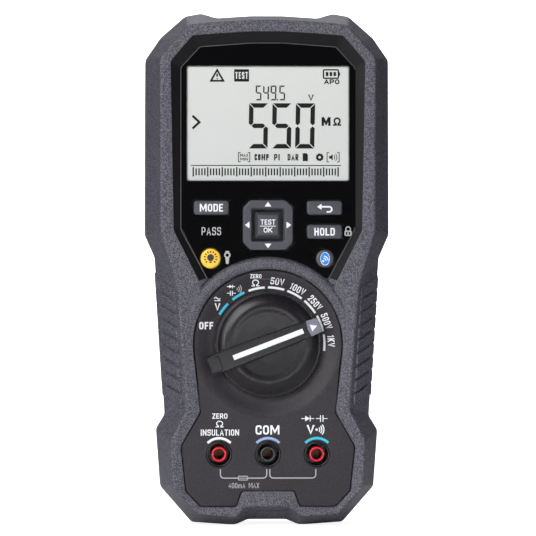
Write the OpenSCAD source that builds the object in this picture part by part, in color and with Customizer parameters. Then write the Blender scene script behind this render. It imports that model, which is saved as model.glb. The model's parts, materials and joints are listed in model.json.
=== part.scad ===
// Hand-held insulation resistance tester, standing upright on the two lobes of its base.
// The face looks towards -Y, the width runs along X and the display end is up.
// The origin is the centre of the base. All sizes are in millimetres.

/* [Case] */
// Height of the case
case_h = 200; // [196:0.5:204]
// Greatest width of the case, over the rubber
case_w = 95.6; // [94:0.2:98]
// Width of the waist that the hand grips, at its narrow lower end
waist_w = 80; // [78:0.5:82]
// Thickness of the rubber skin on the sides
rubber_t = 2.6; // [2:0.1:3]
// Thickness of the hard shell walls
wall_t = 2.2; // [1.8:0.1:2.4]

/* [Depth] */
// Front of the rubber rim, measured back from the middle of the case
rim_y = 21.4; // [21:0.1:22]
// Back of the case and the battery door
back_y = 23; // [22.6:0.1:23.4]
// Back of the four rubber pads that the tester lies on
pad_y = 24.5; // [24:0.1:25]
// Plane where the front and rear shells part
part_y = 3; // [2:0.5:4]

/* [Display and keys] */
// Width of the display window
window_w = 63.2; // [60:0.2:64]
// Height of the display window
window_h = 44.7; // [42:0.1:46]
// Height of the window's middle above the base
window_z = 156.6; // [155:0.1:158]
// Width of the three bar keys
bar_key_w = 13.9; // [12:0.1:14]
// Height of the three bar keys
bar_key_h = 5.7; // [5:0.1:6]
// Width of the rocking navigation ring
ring_w = 19.6; // [19:0.1:20]
// Width of the square test key
test_w = 10; // [9:0.1:10.4]
// How far a key travels when it is pressed
key_travel = 0.8; // [0.5:0.1:0.8]

/* [Selector] */
// Height of the selector's axis above the base
dial_z = 70.8; // [70:0.1:71.5]
// Radius of the selector knob's disc
knob_r = 20.9; // [20:0.1:21.5]
// Radius of the dial face around the knob
dial_r = 29; // [28.5:0.1:29.2]
// Outer radius of the raised arch over the dial
arch_r = 33.9; // [33.5:0.1:34.2]
// Angle of the pointer above the horizontal, set to 500 V
pointer_angle = 21; // [0:1:30]
// Radius of the selector shaft
shaft_r = 3; // [2.6:0.1:3.2]

/* [Input jacks] */
// Distance between neighbouring jacks
jack_pitch = 19; // [18.8:0.05:19.2]
// Height of the jacks above the base
jack_z = 28; // [27:0.1:29]
// Radius of the contact bore, for a 4 mm plug
jack_bore_r = 2; // [2:0.01:2.05]
// Radius of the well that takes the plug's shroud
well_r = 4.2; // [4.1:0.1:4.4]

/* [Battery and stand] */
// Radius of one AA cell
cell_r = 7.25; // [7:0.05:7.25]
// Length of one AA cell
cell_l = 50.5; // [49.5:0.1:50.5]
// Half width of the battery door
door_half_w = 31; // [30.8:0.1:31.2]
// Height of the battery door's top edge above the base
door_top_z = 118; // [117:0.5:119]
// Height of the stand's hinge above the base
hinge_z = 112; // [111:0.5:113]
// Half width of the tilt stand
stand_half_w = 19.6; // [18:0.1:19.8]

/* [Hidden] */
$fn = 64;

// Small overlap that lets a cut pass a face
over = 0.5;
// Half sizes
half_w = case_w / 2;
waist = waist_w / 2;

// Depth planes, front to back
face_y = -19.6;        // front of the glossy bezel
panel_y = -20.4;       // front of the lower panel
seat_y = -17.4;        // front of the front shell, which the bezel and panel sit on
inner_y = -15;         // inside of the front shell's front wall
shoulder_y = -9;       // where the front chamfer meets the side
board_y = -11.6;       // front of the main board
board_t = 1.6;         // thickness of both circuit boards
power_y = 4;           // front of the power board
rear_shoulder_y = 11;  // where the rear chamfer meets the side
door_in_y = 19.8;      // inside face of the battery door
tray_y = 4.9;          // floor of the battery tray
tray_low_z = 13.1;     // ends of the cell pocket and of the fuse pocket above it
tray_mid_z = 68.2;
tray_top_z = 81.6;
tray_half_w = 29.5;

// Shape of the case in plan: right half, from the notch in the base up to the top
function outline_half() = [
    [7.5, 2], [12.2, 0], [15.2, 0], [29.6, 1], [41.8, 15], [43.4, 37], [waist, 42.6],
    [43.9, 104.5], [half_w, 113.3], [half_w - 0.2, 181.8], [41.6, 190.5], [32, case_h - 1.1],
    [25.7, case_h], [19.7, case_h - 1.8], [6, case_h - 0.9]
];
// The ridge of the rubber rim, point for point inside the outline
function ridge_half() = [
    [8.6, 5.2], [12.2, 3.8], [15, 3.8], [27.2, 4.8], [37, 15.4], [37.8, 33.3], [31.5, 45.6],
    [35.2, 92.6], [41.7, 115.3], [41.9, 181.6], [36.8, 188], [30.9, case_h - 5.3],
    [25.5, case_h - 4.6], [19.5, case_h - 4], [6, case_h - 3.2]
];
// Edge of the glossy bezel, from its lower tip up to the top
bezel_half = [[23.6, 95.7], [34.1, 115.3], [34.1, 178.4], [26.5, 186.6], [6, 188.1]];
// Where the rim's sloping inner wall meets the rim, point for point with the bezel
rim_inner_half = [[26.6, 94.5], [36.8, 115], [36.8, 180.6], [28.9, 189.7], [6, 191.2]];
// Lower panel below the dial, from the tongue in the base up to the dial's side
panel_half = [
    [10.1, 13.7], [12.2, 7.6], [26.3, 7.6], [32.1, 13.7], [34, 31.1], [26.3, 44.4],
    [28.6, dial_z - 4.8]
];

function unit(v) = v / norm(v);
function left_of(a, b) = let (d = unit(b - a)) [-d[1], d[0]];
function inset(p, d) = let (n = len(p)) [
    for (i = [0:n - 1])
        let (
            before = left_of(p[(i + n - 1) % n], p[i]),
            after = left_of(p[i], p[(i + 1) % n])
        )
        p[i] + d * (before + after) / (1 + before * after)
];
function whole(half) = concat(half, [
    for (i = [len(half) - 1:-1:0]) [-half[i][0], half[i][1]]
]);

outline = whole(outline_half());
ridge = whole(ridge_half());

// Positions used by several pieces, as [x, z]
mode_pos = [-22, 123.8];
return_pos = [22, 123.8];
hold_pos = [22, 114.5];
light_pos = [-22.3, 104.1];
wireless_pos = [22.2, 104];
nav_pos = [0, 117.1];
light_key_r = 3.9;
wireless_key_r = 3.6;
jack_x = [-jack_pitch, 0, jack_pitch];
case_screw_pos = [[-24, 188], [24, 188], [-27, 90], [27, 90]];
board_screw_pos = [[-36, 165], [36, 165], [-36, 120], [36, 120], [-23, 50], [23, 50]];
spacer_pos = [[-30, 176], [30, 176], [-31, 106], [31, 106]];
cell_pitch = 14.7;
cell_x = [for (i = [-1.5:1:1.5]) i * cell_pitch];
cell_y = 12.3;
cell_z = 15.5;
fuse_z = 75.6;
fuse_y = 12.6;
fastener_x = 26.8;
fastener_z = 100;
light_z = 171;
hinge_y = 22.2;
axle_r = 1;
barrel_r = 1.9;
housing_r = 5;         // black housing round a jack's well
sleeve_r = 3;          // coloured sleeve in a jack's well
contact_r = 2.6;       // brass contact behind the sleeve
contact_y = -16;       // front of the brass contact
bore_end_y = 1.5;      // bottom of the contact's bore
running = 0.05;        // radial clearance of a running fit
key_gap = 0.3;         // gap around a key in the bezel
stripe_l = 29;         // white line on the selector
stripe_w = 1.9;

// A slab of a plan shape drawn in X and Z, from y0 back to y1
module slab(y0, y1) {
    translate([0, y1, 0]) rotate([90, 0, 0]) linear_extrude(y1 - y0) children();
}

// A round bar along Y at [x, z]
module rod(pos, r, y0, y1) {
    translate([pos[0], y1, pos[1]]) rotate([90, 0, 0]) cylinder(r = r, h = y1 - y0);
}

// A round tube along Y at [x, z]
module tube(pos, r, bore, y0, y1) {
    difference() {
        rod(pos, r, y0, y1);
        rod(pos, bore, y0 - over, y1 + over);
    }
}

// A round bar along X at [y, z]
module cross_rod(pos, r, x0, x1) {
    translate([x0, pos[0], pos[1]]) rotate([0, 90, 0]) cylinder(r = r, h = x1 - x0);
}

// A block given by its low and high corners
module block(low, high) {
    translate(low) cube(high - low);
}

// A rectangle with round corners, centred on pos
module round_rect(pos, w, h, r) {
    translate(pos) union() {
        square([w - 2 * r, h], center = true);
        square([w, h - 2 * r], center = true);
        for (sx = [-1, 1], sz = [-1, 1])
            translate([sx * (w / 2 - r), sz * (h / 2 - r)]) circle(r);
    }
}

// A square with cut corners, centred on pos
module cut_square(pos, w, cut) {
    h = w / 2;
    c = h - cut;
    translate(pos)
        polygon([[c, -h], [h, -c], [h, c], [c, h], [-c, h], [-h, c], [-h, -c], [-c, -h]]);
}

// The level past the end level a, 1 mm further along the line from b
function beyond(a, b) = let (step = a[0] - b[0], f = 1 / abs(step))
    [a[0] + step * f, a[1] + (a[1] - b[1]) * f];

// A solid skinned over plan rings; each level is [y, points], front to back.
// The skin runs past both ends and is trimmed there, so that each end is one flat face.
module loft(levels) {
    n = len(levels[0][1]);
    end = len(levels) - 1;
    all = concat([beyond(levels[0], levels[1])], levels, [beyond(levels[end], levels[end - 1])]);
    last = len(all) - 1;
    points = [for (level = all) for (p = level[1]) [p[0], level[0], p[1]]];
    front = [[for (i = [n - 1:-1:0]) i]];
    back = [[for (i = [0:n - 1]) last * n + i]];
    sides = [
        for (k = [0:last - 1]) for (i = [0:n - 1])
            let (a = k * n + i, b = k * n + (i + 1) % n)
            each [[a, b, b + n], [a, b + n, a + n]]
    ];
    intersection() {
        polyhedron(points, concat(front, back, sides), convexity = 8);
        block([-case_w, levels[0][0], -10], [case_w, levels[end][0], case_h + 10]);
    }
}

// Space that the front shell fills inside the rubber; grow moves its walls outwards
module front_core(y_front, rim_gap, side_gap, y_back) {
    loft([
        [y_front, inset(ridge, rim_gap)],
        [shoulder_y + 1, inset(outline, side_gap)],
        [y_back, inset(outline, side_gap)]
    ]);
}

// The same for the rear shell
module rear_core(y_front, side_gap, y_back, back_gap) {
    loft([
        [y_front, inset(outline, side_gap)],
        [rear_shoulder_y - 0.5, inset(outline, side_gap)],
        [y_back, inset(outline, back_gap)]
    ]);
}

// Plan of the bezel, drawn in by gap
module bezel_plan(gap) {
    difference() {
        polygon(inset(whole(bezel_half), gap));
        translate([0, dial_z]) circle(arch_r + gap);
    }
}

// Plan of the lower panel, drawn in by gap
module panel_plan(gap) {
    union() {
        polygon(inset(whole(panel_half), gap));
        translate([0, dial_z]) circle(dial_r - gap);
    }
}

// Plan of the hole in the front shell behind the keys
module key_well_plan() {
    difference() {
        polygon([[-31, 129.6], [-31, 110], [-27, 99], [27, 99], [31, 110], [31, 129.6]]);
        translate([0, dial_z]) circle(arch_r + 1.2);
        translate([-3, 127.6]) square([6, 3]);
    }
}

// ---- casing ----

module front_overmould() {
    color("#3d3c43") difference() {
        loft([[-rim_y, ridge], [shoulder_y, outline], [part_y, outline]]);
        front_core(seat_y, 0.5, rubber_t, part_y + over);
        slab(-rim_y - over, seat_y + over) bezel_plan(0);
        difference() {
            loft([[-rim_y - 0.01, whole(rim_inner_half)], [face_y, whole(bezel_half)]]);
            rod([0, dial_z], arch_r, -rim_y - over, face_y + over);
        }
        slab(-rim_y - over, seat_y + over) panel_plan(0);
        for (side = [-1, 1]) grip_grooves(side);
    }
}

// Diagonal grip grooves along one side of the waist
module grip_grooves(side) {
    mirror([side < 0 ? 1 : 0, 0, 0])
        for (i = [0:5])
            translate([36.3 + i * 0.55, -15.2, 51 + i * 7.8])
                rotate([0, 0, -31]) rotate([-42, 0, 0]) cube([1.6, 1.3, 13], center = true);
}

module rear_overmould() {
    color("#3d3c43") difference() {
        union() {
            loft([[part_y, outline], [rear_shoulder_y, outline], [back_y, inset(outline, 5)]]);
            for (side = [-1, 1]) {
                slab(back_y - over, pad_y) round_rect([side * 35.6, 173], 8, 18, 2);
                slab(back_y - over, pad_y) round_rect([side * 33.9, 27], 4.6, 16, 2);
            }
        }
        rear_core(part_y - over, rubber_t, back_y - 2, 7);
        slab(back_y - 3, pad_y + over) back_window_plan(0);
        for (pos = case_screw_pos) rod(pos, 3.6, back_y - 4, pad_y + over);
    }
}

// Opening in the rubber over the hard back
module back_window_plan(gap) {
    polygon(inset(whole([
        [door_half_w - 6, 9.6], [door_half_w + 0.3, 16.2], [door_half_w + 0.3, 112],
        [36.6, 124], [36.6, 158], [29.5, 163], [29.5, 178], [26, 181]
    ]), gap));
}

module front_shell() {
    color("#2b2b30") union() {
        difference() {
            front_core(seat_y, 0.5, rubber_t, part_y);
            front_core(inner_y, 0.5 + wall_t, rubber_t + wall_t, part_y + over);
            slab(seat_y - over, inner_y + over) round_rect([0, window_z], 66.4, 48, 1.5);
            slab(seat_y - over, inner_y + over) key_well_plan();
            rod([0, dial_z], 5, seat_y - over, inner_y + over);
            for (x = jack_x) rod([x, jack_z], housing_r, seat_y - over, inner_y + over);
            gasket_ring(0);
        }
        difference() {
            for (pos = case_screw_pos) rod(pos, 3.4, inner_y - 0.2, part_y);
            for (pos = case_screw_pos) rod(pos, 1.5, -9, part_y + over);
        }
        difference() {
            for (pos = board_screw_pos) rod(pos, 2.2, inner_y - 0.2, board_y);
            for (pos = board_screw_pos) rod(pos, 1, -14.6, board_y + over);
        }
        for (z = [nav_pos[1] - 9.3, nav_pos[1] + 9.3]) nav_bearing(z);
    }
}

// Bearing lug for the navigation carrier, at the top or bottom of the key well
module nav_bearing(z) {
    up = z > nav_pos[1] ? 1 : -1;
    far_z = z + up * 2.4;
    difference() {
        block([-2, -17, min(z, far_z)], [2, inner_y, max(z, far_z)]);
        translate([0, -16.2, z - 3]) cylinder(r = 0.6 + running, h = 6);
    }
}

// Seal between the shells, half in each
module gasket_ring(gap) {
    difference() {
        slab(part_y - 0.8, part_y + 0.8) polygon(inset(outline, rubber_t + 0.7 - gap));
        slab(part_y - 1.8, part_y + 1.8) polygon(inset(outline, rubber_t + 1.6 + gap));
    }
}

module case_gasket() {
    color("#1c1c1e") gasket_ring(0);
}

module rear_shell() {
    color("#2b2b30") difference() {
        union() {
            difference() {
                union() {
                    rear_core(part_y, rubber_t, back_y - 2, 7);
                    slab(back_y - 2.2, back_y) back_window_plan(0.2);
                }
                rear_core(part_y - over, rubber_t + wall_t, back_y - 2.8, 9.5);
                gasket_ring(0);
            }
            for (pos = case_screw_pos) rod(pos, 4.4, part_y, door_in_y);
            intersection() {
                battery_tray();
                rear_core(part_y, rubber_t + 0.3, back_y - 2, 7.3);
            }
        }
        // Recess for the battery door, and the way into the tray
        slab(door_in_y, back_y + over) door_plan(-0.25);
        block([-tray_half_w, tray_y, tray_low_z], [tray_half_w, back_y, tray_mid_z]);
        block([-24, tray_y, tray_mid_z + 1.5], [24, back_y, tray_top_z]);
        slab(17.2, door_in_y + over) round_rect([0, hinge_z], 49, 12.6, 1);
        for (side = [-1, 1]) rod([side * fastener_x, fastener_z], 4.4, 16.4, back_y + over);
        for (pos = case_screw_pos) {
            rod(pos, 1.5, part_y - over, 18);
            rod(pos, 3.2, 16.6, back_y + over);
        }
        slab(17, back_y + over) round_rect([0, light_z], 18, 8, 2);
        tray_groove();
    }
}

// Open-backed tray for the cells, with a pocket above it for the fuse
module battery_tray() {
    block([-31, tray_y - 1.5, tray_low_z - 1.5], [31, door_in_y, tray_top_z + 1.5]);
    block([-33, 17.6, tray_top_z], [33, door_in_y + 0.6, 121]);
}

// Seal ring around the tray, or with extra > 0 the groove that it sits in
module tray_groove(extra = over) {
    pos = [0, (tray_low_z + tray_top_z) / 2];
    h = tray_top_z - tray_low_z + 2;
    difference() {
        slab(door_in_y - 0.8, door_in_y + extra) round_rect(pos, 61, h, 1);
        slab(door_in_y - 2, door_in_y + 2) round_rect(pos, 59.6, h - 1.4, 0.6);
    }
}

module face_bezel() {
    color("#0b0a0d") difference() {
        slab(face_y, seat_y) bezel_plan(0.1);
        slab(face_y - over, seat_y + over) round_rect([0, window_z], window_w, window_h, 1);
        for (pos = [mode_pos, return_pos, hold_pos])
            slab(face_y - over, seat_y + over)
                round_rect(pos, bar_key_w + 2 * key_gap, bar_key_h + 2 * key_gap, 1);
        slab(face_y - over, seat_y + over) cut_square(nav_pos, ring_w + 0.8, 3.2);
        rod(light_pos, light_key_r + key_gap, face_y - over, seat_y + over);
        rod(wireless_pos, wireless_key_r + key_gap, face_y - over, seat_y + over);
    }
}

module display_lens() {
    color("#cfd3cf", 0.4) union() {
        slab(face_y + 0.1, seat_y) round_rect([0, window_z], window_w - 0.1, window_h - 0.1, 1);
        slab(seat_y, seat_y + 1) round_rect([0, window_z], 66, 47.6, 1.4);
    }
}

module lower_panel() {
    color("#38373b") difference() {
        slab(panel_y, seat_y) panel_plan(0.4);
        rod([0, dial_z], 5, panel_y - over, seat_y + over);
        for (x = jack_x) rod([x, jack_z], housing_r, panel_y - over, seat_y + over);
    }
}

// ---- display and keypad ----

module display_cell() {
    color("#b9bdb6") slab(-16.3, -14.5) round_rect([0, window_z], 64, 45.6, 0.3);
}

module backlight() {
    color("#e8ebe8") slab(-14.4, -12.4) round_rect([0, window_z], 63.6, 41, 0.3);
}

// Rubber strips that join the display glass to the board
module contact_strips() {
    color("#e07a8a")
        for (side = [-1, 1])
            let (z = window_z + side * 21.7)
            block([-31, -14.5, z - 0.8], [31, board_y, z + 0.8]);
}

module display_frame() {
    color("#d8d8d2") difference() {
        slab(-16.3, board_y) round_rect([0, window_z], 66, 47.6, 1);
        slab(-17, board_y + over) round_rect([0, window_z], 64, 45.6, 0.3);
    }
}

module keypad_mat() {
    color("#55555c") difference() {
        union() {
            slab(inner_y, inner_y + 1) keypad_plan(0);
            difference() {
                slab(inner_y + 1, board_y) keypad_plan(0);
                slab(inner_y + 1 - 0.01, board_y + over) keypad_plan(1.2);
            }
            for (pos = [mode_pos, return_pos, hold_pos, light_pos, wireless_pos, nav_pos])
                rod(pos, 1.6, inner_y + 1, board_y - 0.5);
        }
        slab(inner_y - over, board_y + over) round_rect([-22, 114.7], 9.4, 4, 0.5);
    }
}

module keypad_plan(gap) {
    difference() {
        polygon(inset(whole([[27.5, 98], [32, 109.6], [32, 131]]), gap));
        translate([0, dial_z]) circle(arch_r + 0.4 + gap);
    }
}

module pass_light_pipe() {
    color("#dfe6ea") slab(seat_y, board_y) round_rect([-22, 114.7], 9, 3.6, 0.5);
}

// A bar key: cap, flange behind the bezel and plunger
module bar_key(pos) {
    slab(-20.5, seat_y + 0.05) round_rect(pos, bar_key_w, bar_key_h, 0.9);
    slab(seat_y + 0.05, -16.6) round_rect(pos, bar_key_w + 1.4, bar_key_h + 1.4, 0.9);
    rod(pos, 1.5, -16.6, inner_y - key_travel - 0.1);
}

module mode_key() {
    color("#4b4e5b") bar_key(mode_pos);
}

module return_key() {
    color("#4b4e5b") bar_key(return_pos);
}

module hold_key() {
    color("#4b4e5b") bar_key(hold_pos);
}

// A round key: domed cap, flange and plunger
module round_key(pos, r) {
    rod(pos, r, -20.3, seat_y + 0.05);
    rod(pos, r + 0.8, seat_y + 0.05, -16.6);
    rod(pos, 1.5, -16.6, inner_y - key_travel - 0.1);
}

module light_key() {
    color("#fbd23c") round_key(light_pos, light_key_r);
}

module wireless_key() {
    color("#4b4e5b") round_key(wireless_pos, wireless_key_r);
}

module test_key() {
    color("#4b4e5b") union() {
        slab(-19.2, -17) cut_square(nav_pos, test_w, 0.6);
        slab(-20.2, -19.2) cut_square(nav_pos, test_w - 2.4, 0.5);
        rod(nav_pos, 2, -17, inner_y - key_travel - 0.1);
    }
}

module nav_ring() {
    color("#4b4e5b") union() {
        difference() {
            slab(-20.4, -17.6) cut_square(nav_pos, ring_w, 3);
            slab(-20.9, -17) round_rect(nav_pos, 12.6, 12.6, 0.8);
        }
        for (side = [-1, 1]) {
            translate([side * 9.3 - 0.4, -17.8, nav_pos[1] - 1]) cube([0.8, 2.2, 2]);
            cross_rod([-16.2, nav_pos[1]], 0.6, side * 8.15 - 0.85, side * 8.15 + 0.85);
        }
    }
}

// Rocking frame between the navigation ring and the front shell
module nav_carrier() {
    color("#8b8f96") difference() {
        union() {
            difference() {
                slab(-16.9, -15.5) round_rect(nav_pos, 17, 17, 1);
                slab(-17.5, -15) round_rect(nav_pos, 12.6, 12.6, 0.8);
            }
            for (side = [-1, 1])
                translate([nav_pos[0], -16.2, nav_pos[1] + side * 9.3 - 1]) cylinder(r = 0.6, h = 2);
        }
        cross_rod([-16.2, nav_pos[1]], 0.6 + running, -9, 9);
    }
}

// ---- boards ----

module main_board() {
    color("#1f6b45") difference() {
        slab(board_y, board_y + board_t) polygon(inset(outline, 9.5));
        rod([0, dial_z], 5, board_y - over, board_y + board_t + over);
        for (x = jack_x)
            rod([x, jack_z], housing_r + 0.5, board_y - over, board_y + board_t + over);
        for (pos = case_screw_pos) rod(pos, 3.9, board_y - over, board_y + board_t + over);
        for (pos = board_screw_pos) rod(pos, 1, board_y - over, board_y + board_t + over);
    }
}

module power_board() {
    color("#1f6b45") difference() {
        intersection() {
            slab(power_y, power_y + board_t) polygon(inset(outline, 9.5));
            block([-60, 0, 96], [60, 10, case_h]);
        }
        for (pos = case_screw_pos) rod(pos, 4.9, power_y - over, power_y + board_t + over);
    }
}

module board_spacers() {
    color("#c9a24b")
        for (pos = spacer_pos) tube(pos, 2.2, 1.3, board_y + board_t, power_y);
}

// Pan-headed screw along Y, entering towards the front
module screw(pos, head_r, head_y, head_t, shank_r, tip_y) {
    difference() {
        union() {
            rod(pos, head_r, head_y, head_y + head_t);
            rod(pos, shank_r, tip_y, head_y);
        }
        for (turn = [0, 90])
            translate([pos[0], head_y + head_t, pos[1]]) rotate([0, turn, 0])
                cube([head_r * 1.2, head_t, head_r * 0.3], center = true);
    }
}

module board_screws() {
    color("#c4c7cb")
        for (pos = board_screw_pos) screw(pos, 2, board_y + board_t, 1.2, 1, -14.4);
}

module case_screws() {
    color("#8d9096")
        for (pos = case_screw_pos) screw(pos, 2.9, 16.6, 2, 1.5, -8);
}

module main_chips() {
    back = board_y + board_t;
    color("#18181a") union() {
        block([-14, back, 132], [0, back + 1.5, 146]);
        block([6, back, 150], [16, back + 1.5, 160]);
        block([-20, back, 160], [-10, back + 1.7, 166]);
        block([-8, back, 100], [4, back + 1.5, 108]);
        block([14, back, 52], [20, back + 1.5, 58]);
    }
}

module wireless_module() {
    color("#b9bcc0") block([18, board_y + board_t, 126], [32, board_y + board_t + 2.6, 146]);
}

module buzzer() {
    color("#141416") tube([-20, 118], 6.5, 1, board_y + board_t, -4.4);
}

module hv_transformer() {
    back = power_y + board_t;
    color("#c9b23a") union() {
        block([-24, back, 132], [2, back + 2, 158]);
        block([-22, back + 2, 134], [0, back + 11, 156]);
    }
}

module relays() {
    back = power_y + board_t;
    color("#f0f0ea")
        for (i = [0:2]) block([8, back, 124 + i * 12], [28, back + 10, 134 + i * 12]);
}

module capacitors() {
    back = power_y + board_t;
    color("#2a3c8c") union() {
        for (i = [-1:1]) rod([-13 + i * 10, 168], 4, back, back + 11);
        for (i = [0, 1]) block([-16 + i * 18, back, 108], [-4 + i * 18, back + 8, 114]);
    }
}

// ---- inputs ----

module jack_housing() {
    color("#151416") union() {
        for (x = jack_x) tube([x, jack_z], housing_r, well_r, panel_y + 0.2, 0);
        difference() {
            block([-jack_pitch - 7, 0, jack_z - 7], [jack_pitch + 7, 3, jack_z + 7]);
            for (x = jack_x) rod([x, jack_z], contact_r, -over, 3 + over);
        }
    }
}

// Coloured sleeve that stands in the middle of a jack's well, bored for the plug's pin
module sleeve(x) {
    tube([x, jack_z], sleeve_r, jack_bore_r, panel_y + 0.7, contact_y);
    tube([x, jack_z], sleeve_r, contact_r, contact_y, 0);
}

module insulation_sleeve() {
    color("#d8293f") sleeve(jack_x[0]);
}

module common_sleeve() {
    color("#3c3b3e") sleeve(jack_x[1]);
}

module voltage_sleeve() {
    color("#d8293f") sleeve(jack_x[2]);
}

module jack_contacts() {
    color("#c99a3c")
        for (x = jack_x) difference() {
            rod([x, jack_z], contact_r, contact_y, 3);
            rod([x, jack_z], jack_bore_r, contact_y - over, bore_end_y);
        }
}

module fuse() {
    color("#e9e6dc") union() {
        cross_rod([fuse_y, fuse_z], 4.9, -13, 13);
        for (side = [-1, 1]) cross_rod([fuse_y, fuse_z], 5.15, side * 16 - 3, side * 16 + 3);
    }
}

// Spring clips that hold the fuse by its caps
module fuse_clips() {
    color("#c9a24b")
        for (side = [-1, 1]) difference() {
            block([side * 16 - 2.5, 4.9, fuse_z - 5.75], [side * 16 + 2.5, 15.4, fuse_z + 5.75]);
            cross_rod([fuse_y, fuse_z], 5.15, side * 16 - 3, side * 16 + 3);
            block([side * 16 - 3, fuse_y, fuse_z - 5.15], [side * 16 + 3, 16, fuse_z + 5.15]);
        }
}

module battery_cells() {
    color("#8f7a3a")
        for (i = [0:3]) translate([cell_x[i], cell_y, cell_z + (i % 2 == 0 ? 0 : cell_l)])
            mirror([0, 0, i % 2 == 0 ? 0 : 1]) union() {
                cylinder(r = cell_r, h = cell_l - 1);
                cylinder(r = 2.7, h = cell_l);
            }
}

// Plates at both ends of each cell
module battery_contacts() {
    color("#c4c7cb")
        for (i = [0:3], end = [0, 1])
            let (z = end == 0 ? cell_z - 2.4 : cell_z + cell_l + 1.6)
            union() {
                block([cell_x[i] - 5, 6.5, z], [cell_x[i] + 5, 18, z + 0.6]);
                translate([cell_x[i], cell_y, end == 0 ? z + 0.6 : cell_z + cell_l])
                    cylinder(r1 = end == 0 ? 5 : 3, r2 = end == 0 ? 3 : 5,
                             h = end == 0 ? cell_z - z - 0.6 : 1.6);
            }
}

// ---- work light on the back ----

module light_window() {
    color("#e6ecf0", 0.5)
        slab(back_y - 1.8, back_y - 0.2) round_rect([0, light_z], 17.8, 7.8, 1.9);
}

module light_leds() {
    color("#f4efc0") union() {
        slab(back_y - 4, back_y - 2.8) round_rect([0, light_z], 22, 11, 1);
        for (x = [-5, 0, 5]) rod([x, light_z], 1.5, back_y - 2.8, back_y - 1.9);
    }
}

// ---- selector ----

// Places a shape drawn about the origin, with the pointer along +X, on the dial
module on_dial() {
    translate([0, 0, dial_z]) rotate([0, -pointer_angle, 0]) children();
}

// Plan of the grip bar across the knob
module grip_plan(gap) {
    polygon([[-24.6 + gap, -3.3 + gap], [-20, -3.9 + gap], [0, -3.7 + gap], [17, -3.2 + gap],
             [21.5 - gap, -2.8 + gap], [21.5 - gap, 2.8 - gap], [17, 3.2 - gap], [0, 3.7 - gap],
             [-20, 3.9 - gap], [-24.6 + gap, 3.3 - gap]]);
}

module selector_knob() {
    color("#2c2b2f") on_dial() difference() {
        union() {
            rotate([90, 0, 0]) rotate_extrude()
                polygon([[0, 20.7], [knob_r, 20.7], [knob_r, 21.3], [knob_r - 0.9, 21.5],
                         [knob_r - 4.4, 23], [knob_r - 5.6, 23.1], [knob_r - 8.5, 22.6],
                         [0, 22.3]]);
            slab(-24.5, -20.7) grip_plan(0);
            rod([0, 0], 4.6, -21, -18);
        }
        slab(-25, -24) stripe_plan();
        slab(-25, -22.4) pointer_plan();
        rod([0, 0], shaft_r, -22, -17);
        for (side = [-1, 1], x = [-17:2.2:14])
            block([x - 0.35, -25, side * 3.9 - 0.5], [x + 0.35, -22.6, side * 3.9 + 0.5]);
    }
}

// White line along the grip bar
module stripe_plan() {
    translate([-stripe_l / 2, -stripe_w / 2]) square([stripe_l, stripe_w]);
}

module pointer_plan() {
    polygon([[16.8, -4], [25, -4], [25, 4], [16.8, 4], [16.2, 0]]);
}

module knob_pointer() {
    color("#8e919c") on_dial() intersection() {
        slab(-24.4, -22.4) pointer_plan();
        slab(-24.5, -20.7) grip_plan(0);
    }
}

module knob_stripe() {
    color("#f2f3f5") on_dial() slab(-24.4, -24) stripe_plan();
}

module knob_shaft() {
    color("#b4b7bb") translate([0, 0, dial_z]) difference() {
        rod([0, 0], shaft_r, -22, -8.2);
        tube([0, 0], shaft_r + 1, 2.4, -9.4, -8.8);
    }
}

module shaft_bushing() {
    color("#d9d4c2") tube([0, dial_z], 5, shaft_r + running, -17.9, inner_y);
}

module switch_rotor() {
    color("#e6e2d6") translate([0, 0, dial_z]) difference() {
        rod([0, 0], 17, -14.7, -12.9);
        rod([0, 0], shaft_r, -15, -12);
        for (i = [0:17]) rotate([0, i * 20 + 10, 0]) rod([17.3, 0], 0.9, -15, -12);
    }
}

module wiper_contacts() {
    color("#c99a3c") translate([0, 0, dial_z])
        for (i = [0:2]) rotate([0, i * 120, 0])
            union() {
                block([8, -12.9, -0.9], [15, -12.5, 0.9]);
                rod([13.6, 0], 0.8, -12.6, -11.8);
            }
}

module shaft_clip() {
    color("#9a9da2") translate([0, 0, dial_z]) difference() {
        tube([0, 0], 4.5, 2.4, -9.4, -8.8);
        block([-1.6, -10, 0], [1.6, -8, 6]);
    }
}

// Leaf spring with the ball that clicks into the rotor's notches
module detent_spring() {
    color("#9a9da2") union() {
        block([-6, inner_y, dial_z + 18.6], [6, -13, dial_z + 19]);
        rod([0, dial_z + 18.1], 0.9, inner_y, -13);
        for (side = [-1, 1])
            block([side * 7 - 1, inner_y, dial_z + 18.6], [side * 7 + 1, -12.2, dial_z + 20.6]);
    }
}

// ---- back ----

module door_plan(gap) {
    polygon(inset(whole([
        [door_half_w - 6.2, 10], [door_half_w, 16.5], [door_half_w, door_top_z - 5],
        [door_half_w - 5, door_top_z]
    ]), gap));
}

module battery_door() {
    color("#303035") difference() {
        union() {
            slab(door_in_y, back_y) door_plan(0);
            slab(17.6, door_in_y) round_rect([0, hinge_z], 48, 11.6, 1);
        }
        // Recess that the stand folds into, with a finger dip at its foot
        block([-stand_half_w - 0.5, 21.6, 22], [stand_half_w + 0.5, back_y + over, hinge_z]);
        cross_rod([hinge_y, hinge_z], barrel_r + 0.5, -stand_half_w - 0.5, stand_half_w + 0.5);
        cross_rod([hinge_y, hinge_z], axle_r, -23.5, 23.5);
        block([-8, 20.9, 17.5], [8, back_y + over, 22.5]);
        for (side = [-1, 1]) {
            rod([side * fastener_x, fastener_z], 3.5, 21.4, back_y + over);
            rod([side * fastener_x, fastener_z], 2 + running, door_in_y - over, 22);
        }
    }
}

module door_gasket() {
    color("#1c1c1e") tray_groove(0);
}

module stand_axle() {
    color("#b4b7bb") cross_rod([hinge_y, hinge_z], axle_r, -23.5, 23.5);
}

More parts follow.
